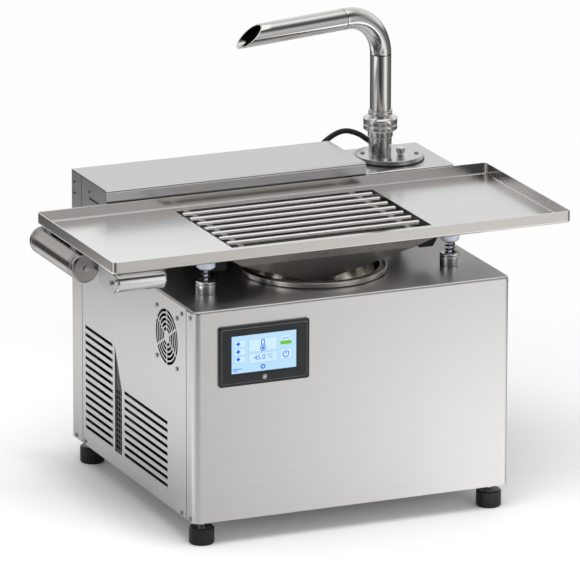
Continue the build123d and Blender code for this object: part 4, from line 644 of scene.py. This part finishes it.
def strip(x0, z0, x1, z1):
    """A closed block of the frame's middle, flat in front."""
    edge = np.array([(x0, z0), (x1, z0), (x1, z1), (x0, z1)])
    centre = np.tile(edge.mean(0), (4, 1))
    return standing([(centre, middle_y), (edge, middle_y), (edge, inside_y), (centre, inside_y)])


# %% [markdown]
# The flat middle is laid out in blocks round the glass. One block has the round hole of the
# home key: at each angle its outer edge is where a line from the key meets the block's sides.

# %% Stepped frame
border = [frame_ring(4.9, back_y), frame_ring(0.0, back_y), frame_ring(0.0, -2.6),
          frame_ring(0.7, border_y), frame_ring(3.9, border_y), frame_ring(4.9, back_y)]
raised = [frame_ring(4.4, inside_y), frame_ring(4.5, -4.4), frame_ring(4.9, middle_y),
          frame_ring(5.1, inside_y), frame_ring(4.4, inside_y)]
left, low, right_side, high = frame_box + 4.9 * inward
glass_left, glass_low, glass_right, glass_high = glass_box
key_middle, key_hole, key_block = np.array([-133.0, 233.8]), 4.3, 10.0
key_left, key_right = key_middle[0] - key_block, key_middle[0] + key_block
ray = np.linspace(0, 2 * np.pi, 65)
direction = np.stack([np.cos(ray), np.sin(ray)], -1)
block_half = np.array([key_block, min(key_middle[1] - low, glass_low - key_middle[1])])
key_high = key_middle[1] + block_half[1]
to_edge = np.min(block_half / np.maximum(np.abs(direction), 1e-9), axis=1)[:, None]
block_edge, hole_edge = key_middle + direction * to_edge, key_middle + direction * key_hole
key_rings = [(block_edge, middle_y), (hole_edge, middle_y), (hole_edge, inside_y),
             (block_edge, inside_y), (block_edge, middle_y)]
key_grid = np.stack([np.stack([edge[:, 0], np.full(len(ray), y), edge[:, 1]], -1)
                     for edge, y in key_rings])
strips = [strip(left, low, key_left, glass_low), strip(key_right, low, right_side, glass_low),
          strip(key_left, key_high, key_right, glass_low),
          strip(left, glass_high, right_side, high), strip(left, glass_low, glass_left, glass_high),
          strip(glass_right, glass_low, right_side, glass_high)]
surface("hmi_frame_drawn", [standing(border), standing(raised), key_grid] + strips, "casing",
        bezel_gloss, ["hmi_bezel"], 25.0)
line_rings = [frame_ring(3.8, border_y), frame_ring(3.9, line_y), frame_ring(4.4, line_y),
              frame_ring(4.4, border_y)]
surface("hmi_frame_line", [standing(line_rings)], "casing", edge_grey)
print("frame of", len(strips) + 1, "blocks and a border")

# %% [markdown]
# ## The touch panel's picture
# The panel is lit, so its picture is made of thin plates that glow a little: a pale blue ground,
# framed fields, and blue signs in them. Only general signs and the bowl's temperature are shown.

# %% Glowing finishes
def glowing(name, color, strength):
    """A lit part of the display: its own colour and its light, mottled very slightly."""
    material, shader = new_finish(name, tuple(value * 0.08 for value in color), 0.0, 0.25,
                                  Emission_Strength=strength, Specular_IOR_Level=0.3)
    cloud = noise_on_object(material, (18, 18, 26), 2.0)
    ramp = node(material, "ShaderNodeValToRGB")
    ramp.color_ramp.elements[0].color = (*(value * 0.93 for value in color), 1.0)
    ramp.color_ramp.elements[1].color = (*color, 1.0)
    join(material, cloud.outputs["Fac"], ramp.inputs["Fac"])
    join(material, ramp.outputs["Color"], shader.inputs["Emission Color"])
    return material


lit_ground = glowing("lit ground", (0.49, 0.75, 1.0), 0.94)
lit_field = glowing("lit field", (0.60, 0.82, 1.0), 0.97)
lit_line = glowing("lit field line", (0.34, 0.56, 0.85), 0.80)
lit_blue = glowing("lit blue sign", (0.0, 0.15, 0.80), 0.90)
lit_green = glowing("lit green sign", (0.16, 0.62, 0.03), 0.85)

# %% [markdown]
# The signs are drawn from a few outlines: bars with rounded ends, discs and a toothed wheel.
# A sign with an opening is a blue outline with a pale one on top of it.

# %% Outlines of the signs
glass_y = -4.15


def plate(name, outlines, finish, depth, body="casing"):
    """Flat plates on the glass: each outline of x and z becomes a fan round its own middle,
    and depth lifts it towards the viewer by tenths of a millimetre."""
    grids = []
    for outline in outlines:
        outline = np.asarray(outline, float)
        ring = np.concatenate([outline, outline[:1]])
        middle = np.tile(outline.mean(0), (len(ring), 1))
        y = np.full((2, len(ring), 1), glass_y - depth * 0.1)
        grids.append(np.concatenate([np.stack([middle, ring])[..., :1], y,
                                     np.stack([middle, ring])[..., 1:]], -1))
    return surface(name, grids, body, finish)


def disc(x, z, radius, steps=32):
    """A circle of points."""
    angle = np.linspace(0, 2 * np.pi, steps, endpoint=False)
    return np.stack([x + radius * np.cos(angle), z + radius * np.sin(angle)], -1)


def gear(x, z, inner, outer, teeth=8):
    """A toothed wheel: the radius steps between inner and outer round the circle."""
    angle = np.linspace(0, 2 * np.pi, teeth * 4, endpoint=False)
    radius = np.where(np.arange(teeth * 4) % 4 < 2, outer, inner)
    return np.stack([x + radius * np.cos(angle), z + radius * np.sin(angle)], -1)


def bar(x, z, half_wide, half_high):
    """A small bar with rounded ends round a middle."""
    return rounded(x - half_wide, z - half_high, x + half_wide, z + half_high,
                   min(half_wide, half_high) * 0.7)


# %% [markdown]
# The lit ground holds seven framed fields. Three crosses stand at the left, the thermometer in
# the middle, a wave with a green bar and the power sign at the right, and a settings wheel below.

# %% Fields and signs
plate("display_ground", [rounded(-181.6, 242.3, -86.7, 294.7, 0.5)], lit_ground, 0)
fields = [(-177.8, 278.6, -160.8, 288.8), (-177.8, 267.4, -160.8, 277.4),
          (-177.8, 256.4, -160.8, 266.2), (-156.6, 254.2, -114.8, 268.2),
          (-156.6, 270.2, -114.8, 288.4), (-110.4, 274.6, -93.2, 289.2),
          (-110.4, 255.4, -93.2, 270.0)]
field_line = 0.4
plate("display_field_lines", [rounded(*box, 1.6) for box in fields], lit_line, 1)
plate("display_fields", [rounded(*(np.array(box) + field_line * inward), 1.3) for box in fields],
      lit_field, 2)
crosses = [bar(-172.0, z, *half) for z in (283.6, 272.7, 262.0)
           for half in ((3.0, 1.15), (1.15, 3.0))]
thermometer_x, wheel_x, power_x = -135.7, -135.8, -102.0
plate("display_signs", crosses + [
    bar(thermometer_x, 279.0, 2.8, 8.0), disc(thermometer_x, 274.2, 4.1),
    gear(wheel_x, 248.4, 2.9, 3.9), disc(power_x, 262.4, 4.9), bar(-173.4, 248.4, 6.8, 0.5),
    bar(-176.8, 246.2, 3.4, 0.5)], lit_blue, 3)
plate("display_sign_holes", [
    bar(thermometer_x, 280.2, 1.55, 5.6), disc(thermometer_x, 274.2, 2.9),
    disc(wheel_x, 248.4, 1.5), disc(power_x, 262.4, 3.6), bar(power_x, 266.2, 1.7, 1.6)],
      lit_field, 4)
plate("display_sign_marks", [disc(thermometer_x, 274.2, 1.9), bar(thermometer_x, 277.6, 0.6, 3.4),
                             bar(power_x, 265.0, 0.65, 2.6)], lit_blue, 5)
plate("display_bar", [bar(power_x, 278.6, 8.2, 2.6)], lit_green, 3)
wave_left, wave_width, wave_z, wave_lift, waves = -107.8, 11.6, 284.6, 0.9, 3.5
along_wave = np.linspace(0, 1, 49)
wave_line = np.stack([wave_left + wave_width * along_wave,
                      np.full(len(along_wave), glass_y - 0.3),
                      wave_z - wave_lift * np.cos(2 * np.pi * waves * along_wave)], -1)
half_stroke = np.array([0, 0, 0.45])
surface("display_wave", [np.stack([wave_line - half_stroke, wave_line + half_stroke])], "casing",
        lit_blue)
for name, outline, finish, depth in (
        ("home_sign", disc(*key_middle, 3.2), printed_grey, 6.2),
        ("home_sign_inner", disc(*key_middle, 2.4), black_plastic, 6.6),
        ("home_sign_mark", bar(*key_middle, 1.3, 1.3), printed_grey, 7.0)):
    plate(name, [outline], finish, depth, "home_button_body")
print("picture of", len(fields), "fields")

# %% [markdown]
# The temperature is a text object that is made into a mesh at once, stood upright and laid on
# the glass, so that its own place is in its points like every other piece's. The unit is
# smaller than the figures.

# %% Temperature on the panel
def lettering(name, words, middle, wide, tall):
    """Words as a flat mesh on the glass: stretched to a width and a height round a middle."""
    curve = bpy.data.curves.new(name, "FONT")
    curve.body = words
    holder = bpy.data.objects.new(name + " holder", curve)
    bpy.context.scene.collection.objects.link(holder)
    bpy.context.view_layer.update()
    mesh = bpy.data.meshes.new_from_object(holder)
    bpy.data.objects.remove(holder)
    flat = np.zeros(len(mesh.vertices) * 3)
    mesh.vertices.foreach_get("co", flat)
    flat = flat.reshape(-1, 3)[:, :2]
    share = (flat - flat.min(0)) / np.ptp(flat, axis=0) - 0.5
    stood = np.stack([middle[0] + share[:, 0] * wide, np.full(len(flat), glass_y - 0.45),
                      middle[1] + share[:, 1] * tall], -1)
    mesh.vertices.foreach_set("co", metres(stood).ravel())
    put(name, mesh, "casing", lit_blue)


lettering("display_temperature", "45.0", (-140.6, 262.0), 16.6, 6.8)
lettering("display_unit", "°C", (-125.6, 262.6), 8.0, 5.4)
print("panel shows 45.0 °C")

# %% [markdown]
# ## Studio
# A pale floor runs back past the machine. The camera sees it white, and it keeps the machine's
# shadow. Near the machine steel mirrors the floor too, but further out a mirror would show the
# whole studio, so there the floor lets mirror rays through to the studio's bright and dark bands.

# %% Floor
floor_mesh = bpy.data.meshes.new("floor")
floor_mesh.from_pydata([(-14, -14, 0), (14, -14, 0), (14, 14, 0), (-14, 14, 0)], [],
                       [(0, 1, 2, 3)])
floor = bpy.data.objects.new("floor", floor_mesh)
bpy.context.scene.collection.objects.link(floor)
floor_white, floor_shader = new_finish("floor white", (0.90, 0.90, 0.90), 0.0, 0.6,
                                       Specular_IOR_Level=0.1, Emission_Color=(1.0, 1.0, 1.0, 1.0))
floor_mottle = noise_on_object(floor_white, (9, 9, 9))
vary(floor_white, floor_mottle, floor_shader.inputs["Roughness"], 0.55, 0.65)
rays = node(floor_white, "ShaderNodeLightPath")
floor_place = node(floor_white, "ShaderNodeTexCoord")
floor_length = node(floor_white, "ShaderNodeVectorMath", operation="LENGTH")
join(floor_white, floor_place.outputs["Object"], floor_length.inputs[0])
from_middle = floor_length.outputs["Value"]
floor_at = parts_of(floor_white)
floor_x, floor_y = floor_at["X"], floor_at["Y"]


def floor_range(value, low, high, start, end):
    """A floor value between low and high, spread over start to end."""
    return ranged(floor_white, value, low, high, start, end)


def floor_math(operation, first, second):
    """Two floor values added, multiplied or compared."""
    return calculate(floor_white, operation, first, second)


# %% [markdown]
# To mirror rays the floor in front of the machine is painted lighter to the right, a painted pool
# of light, so the front panel, which mirrors that floor, goes from mid grey at its left to nearly
# white at its right edge. Lines on the floor along the mirrored direction all meet one upright line
# of the
# panel, which gives the position across: x minus a fixed share of the distance in front of the
# panel.
# The floor beside the left panel is painted darker close to it, a painted shadow, so that panel
# gets darker downwards. Further out the mirrored floor is painted darker still, painted shade.

# %% Floor as steel mirrors it
glossy, to_camera = rays.outputs["Is Glossy Ray"], rays.outputs["Is Camera Ray"]
floor_tone, front_y, across_slope = 0.90, 0.235, 0.431
before_front = floor_math("MULTIPLY", floor_math("ADD", floor_y, front_y), across_slope)
# Mirror rays see the floor in front painted lighter to the right: a painted pool of light.
painted_light_from_left = floor_range(floor_math("ADD", floor_x, before_front), -0.26, 0.26, -0.38, 0.22)
in_front = floor_range(floor_y, -0.26, -0.22, 1.0, 0.0)
# Close beside the left panel the mirrored floor is painted darker: a painted shadow.
painted_shadow_beside = floor_range(floor_x, -0.50, -0.26, 0.10, -0.42)
not_in_front = floor_range(floor_y, -0.26, -0.22, 0.0, 1.0)
painted_light_and_shade_near = floor_math("ADD", floor_math("MULTIPLY", painted_light_from_left, in_front),
                       floor_math("MULTIPLY", painted_shadow_beside, not_in_front))
# Far out the mirrored floor is painted darker: painted shade.
painted_shade_far = floor_range(from_middle, 0.95, 1.55, 0.0, -0.34)
mirrored_part = floor_math("ADD", painted_light_and_shade_near, painted_shade_far)
mirrored_level = floor_math("ADD", floor_math("MULTIPLY", mirrored_part, glossy), 1.0)
floor_base = floor_math("MINIMUM", floor_math("MULTIPLY", mirrored_level, floor_tone), 1.0)
floor_color = node(floor_white, "ShaderNodeCombineColor")
for channel in ("Red", "Green", "Blue"):
    join(floor_white, floor_base, floor_color.inputs[channel])
join(floor_white, floor_color.outputs["Color"], floor_shader.inputs["Base Color"])

# %% [markdown]
# Mirrored floor painted above full white glows by the rest, painted light. All seen floor glows a
# little, and the camera sees more of that left of the machine and behind its left side, painted
# light that lifts the machine's shadow there, where the photograph has almost no shadow.

# %% Glow of the floor
floor_lift, left_lift = 0.03, 0.14
seen = floor_math("MAXIMUM", to_camera, glossy)
# Mirrored floor painted past full white glows by the excess: painted light.
painted_light_over_white = floor_math("MAXIMUM", floor_math("MULTIPLY", floor_math("ADD", mirrored_level, -1.0),
                                        floor_tone), 0.0)
# Left of the machine and behind its left side the camera sees the floor glow more: painted light
# over its shadow.
painted_light_behind_left = floor_math("MULTIPLY", floor_range(floor_y, 0.23, 0.29, 0.0, left_lift),
                         floor_range(floor_x, -0.15, 0.15, 1.0, 0.0))
painted_light_left_of_machine = floor_math("MAXIMUM", floor_range(floor_x, -0.31, -0.25, left_lift, 0.0), painted_light_behind_left)
lift = floor_math("ADD", floor_math("MULTIPLY", seen, floor_lift),
                  floor_math("MULTIPLY", painted_light_left_of_machine, to_camera))
join(floor_white, floor_math("ADD", lift, painted_light_over_white), floor_shader.inputs["Emission Strength"])

# %% [markdown]
# Far from the machine the camera sees the floor as a plain white background, and mirror rays go
# through it to the studio's bands. Both changes are gradual, well outside the shadow.

# %% Floor far away
beyond = floor_range(from_middle, 1.32, 1.50, 0.0, 1.0)
open_to = floor_math("MULTIPLY", beyond, glossy)
clear = node(floor_white, "ShaderNodeBsdfTransparent")
choice = node(floor_white, "ShaderNodeMixShader")
join(floor_white, open_to, choice.inputs["Fac"])
join(floor_white, floor_shader.outputs["BSDF"], choice.inputs[1])
join(floor_white, clear.outputs["BSDF"], choice.inputs[2])
backdrop = node(floor_white, "ShaderNodeEmission", Strength=0.985)
far = floor_math("MULTIPLY", floor_range(from_middle, 0.55, 0.95, 0.0, 1.0), to_camera)
sweep = node(floor_white, "ShaderNodeMixShader")
join(floor_white, far, sweep.inputs["Fac"])
join(floor_white, choice.outputs["Shader"], sweep.inputs[1])
join(floor_white, backdrop.outputs["Emission"], sweep.inputs[2])
floor_output = floor_white.node_tree.nodes["Material Output"]
join(floor_white, sweep.outputs["Shader"], floor_output.inputs["Surface"])
floor_mesh.materials.append(floor_white)

# %% [markdown]
# The world is the studio. To the camera it is white and to matt surfaces an even soft light.
# To steel it is a row of softboxes and dark gaps, set out by the angle round the machine from
# the camera's side, with a white wall behind and a softbox on the ceiling.

# %% World and its helpers
world = bpy.data.worlds.new("studio")
bpy.context.scene.world = world
world.use_nodes = True
background = world.node_tree.nodes["Background"]
background.inputs["Color"].default_value = (1.0, 1.0, 1.0, 1.0)
sky_place = node(world, "ShaderNodeTexCoord")


def along(direction):
    """How far the looked-at direction points along a given unit vector."""
    made = node(world, "ShaderNodeVectorMath", operation="DOT_PRODUCT")
    made.inputs[1].default_value = tuple(float(value) for value in direction)
    join(world, sky_place.outputs["Generated"], made.inputs[0])
    return made.outputs["Value"]


def ramp_of(value, stops):
    """A piecewise linear curve from a list of positions (0 to 1) and brightnesses."""
    made = node(world, "ShaderNodeValToRGB")
    while len(made.color_ramp.elements) < len(stops):
        made.color_ramp.elements.new(0.5)
    for element, (position, _) in zip(made.color_ramp.elements, stops):
        element.position = position
    for element, (_, level) in zip(made.color_ramp.elements, stops):
        element.color = (level, level, level, 1.0)
    join(world, value, made.inputs["Fac"])
    return made.outputs["Color"]


def combine(operation, first, second):
    """Adds or multiplies two brightnesses."""
    return calculate(world, operation, first, second)


# %% [markdown]
# The bands are a list of the angle round the machine in degrees, positive to the camera's right,
# and the brightness there. The other curves run over the same angle as a share of the full turn,
# or over the height from straight down (0) over level (0.5) to straight up (1).

# %% Studio round the machine
studio_bands = [(-180, 0.10), (-118, 0.12), (-99, 0.20), (-84, 0.26), (-70, 0.95), (-57, 1.35),
                (-45, 1.15), (-33, 0.38), (-22, 0.16), (-11, 0.05), (0, 0.025), (11, 0.10),
                (22, 0.17), (33, 0.38), (45, 0.92), (57, 1.15), (70, 0.65), (84, 0.20),
                (99, 0.17), (118, 0.13), (180, 0.10)]
round_angle = node(world, "ShaderNodeMath", operation="ARCTAN2")
join(world, along(level_right), round_angle.inputs[0])
join(world, along((-np.sin(azimuth), -np.cos(azimuth), 0.0)), round_angle.inputs[1])
one_turn = 2 * float(np.pi)
round_share = combine("ADD", combine("MULTIPLY", round_angle.outputs[0], 1 / one_turn), 0.5)
height_share = combine("ADD", combine("MULTIPLY", along((0.0, 0.0, 1.0)), 0.5), 0.5)
bands = ramp_of(round_share, [((angle + 180) / 360, level) for angle, level in studio_bands])
low_part = ramp_of(height_share, [(0.0, 0.35), (0.25, 0.5), (0.36, 1.0), (0.53, 1.0), (0.64, 0.8),
                                  (0.70, 0.15), (0.74, 0.0), (1.0, 0.0)])
behind = ramp_of(round_share, [(0.0, 0.80), (0.16, 0.80), (0.26, 0.10), (0.5, 0.04), (0.74, 0.10),
                               (0.84, 0.80), (1.0, 0.80)])
middle_part = ramp_of(height_share, [(0.0, 0.0), (0.50, 0.0), (0.56, 1.0), (0.78, 1.0), (0.90, 0.6),
                                     (1.0, 0.0)])
ceiling = ramp_of(height_share, [(0.0, 0.0), (0.86, 0.0), (0.94, 1.0), (1.0, 1.1)])
walls = combine("ADD", combine("MULTIPLY", bands, low_part),
                combine("MULTIPLY", behind, middle_part))
mirrored = combine("ADD", walls, ceiling)
world_rays = node(world, "ShaderNodeLightPath")
soft_light = 0.66
to_matt = combine("MULTIPLY", world_rays.outputs["Is Diffuse Ray"], soft_light)
to_mirror = combine("MULTIPLY", world_rays.outputs["Is Glossy Ray"], mirrored)
through = combine("ADD", world_rays.outputs["Is Camera Ray"],
                  world_rays.outputs["Is Transmission Ray"])
join(world, combine("ADD", combine("ADD", to_matt, to_mirror), through),
     background.inputs["Strength"])
print("studio has", len(studio_bands), "bands")

# %% [markdown]
# Two soft lamps give the floor its shadow. Steel doesn't mirror them: the studio's bands do that.

# %% Lamps
def lamp(name, place, aim, size, power):
    """A soft rectangular lamp at a place in metres, turned to face a point."""
    light = bpy.data.objects.new(name, bpy.data.lights.new(name, "AREA"))
    light.data.shape = "RECTANGLE"
    light.data.size, light.data.size_y = size
    light.data.energy = power
    light.location = place
    light.rotation_mode = "QUATERNION"
    light.rotation_quaternion = (Vector(aim) - Vector(place)).to_track_quat("-Z", "Y")
    light.visible_glossy = False
    bpy.context.scene.collection.objects.link(light)
    return light


lamp("softbox above", (-0.3, -0.8, 2.5), (0.0, 0.0, 0.2), (2.0, 1.6), 38.0)
lamp("softbox front", (0.5, -2.6, 0.95), (0.0, 0.0, 0.3), (1.6, 1.0), 16.0)
bpy.context.scene.view_settings.view_transform = "Standard"
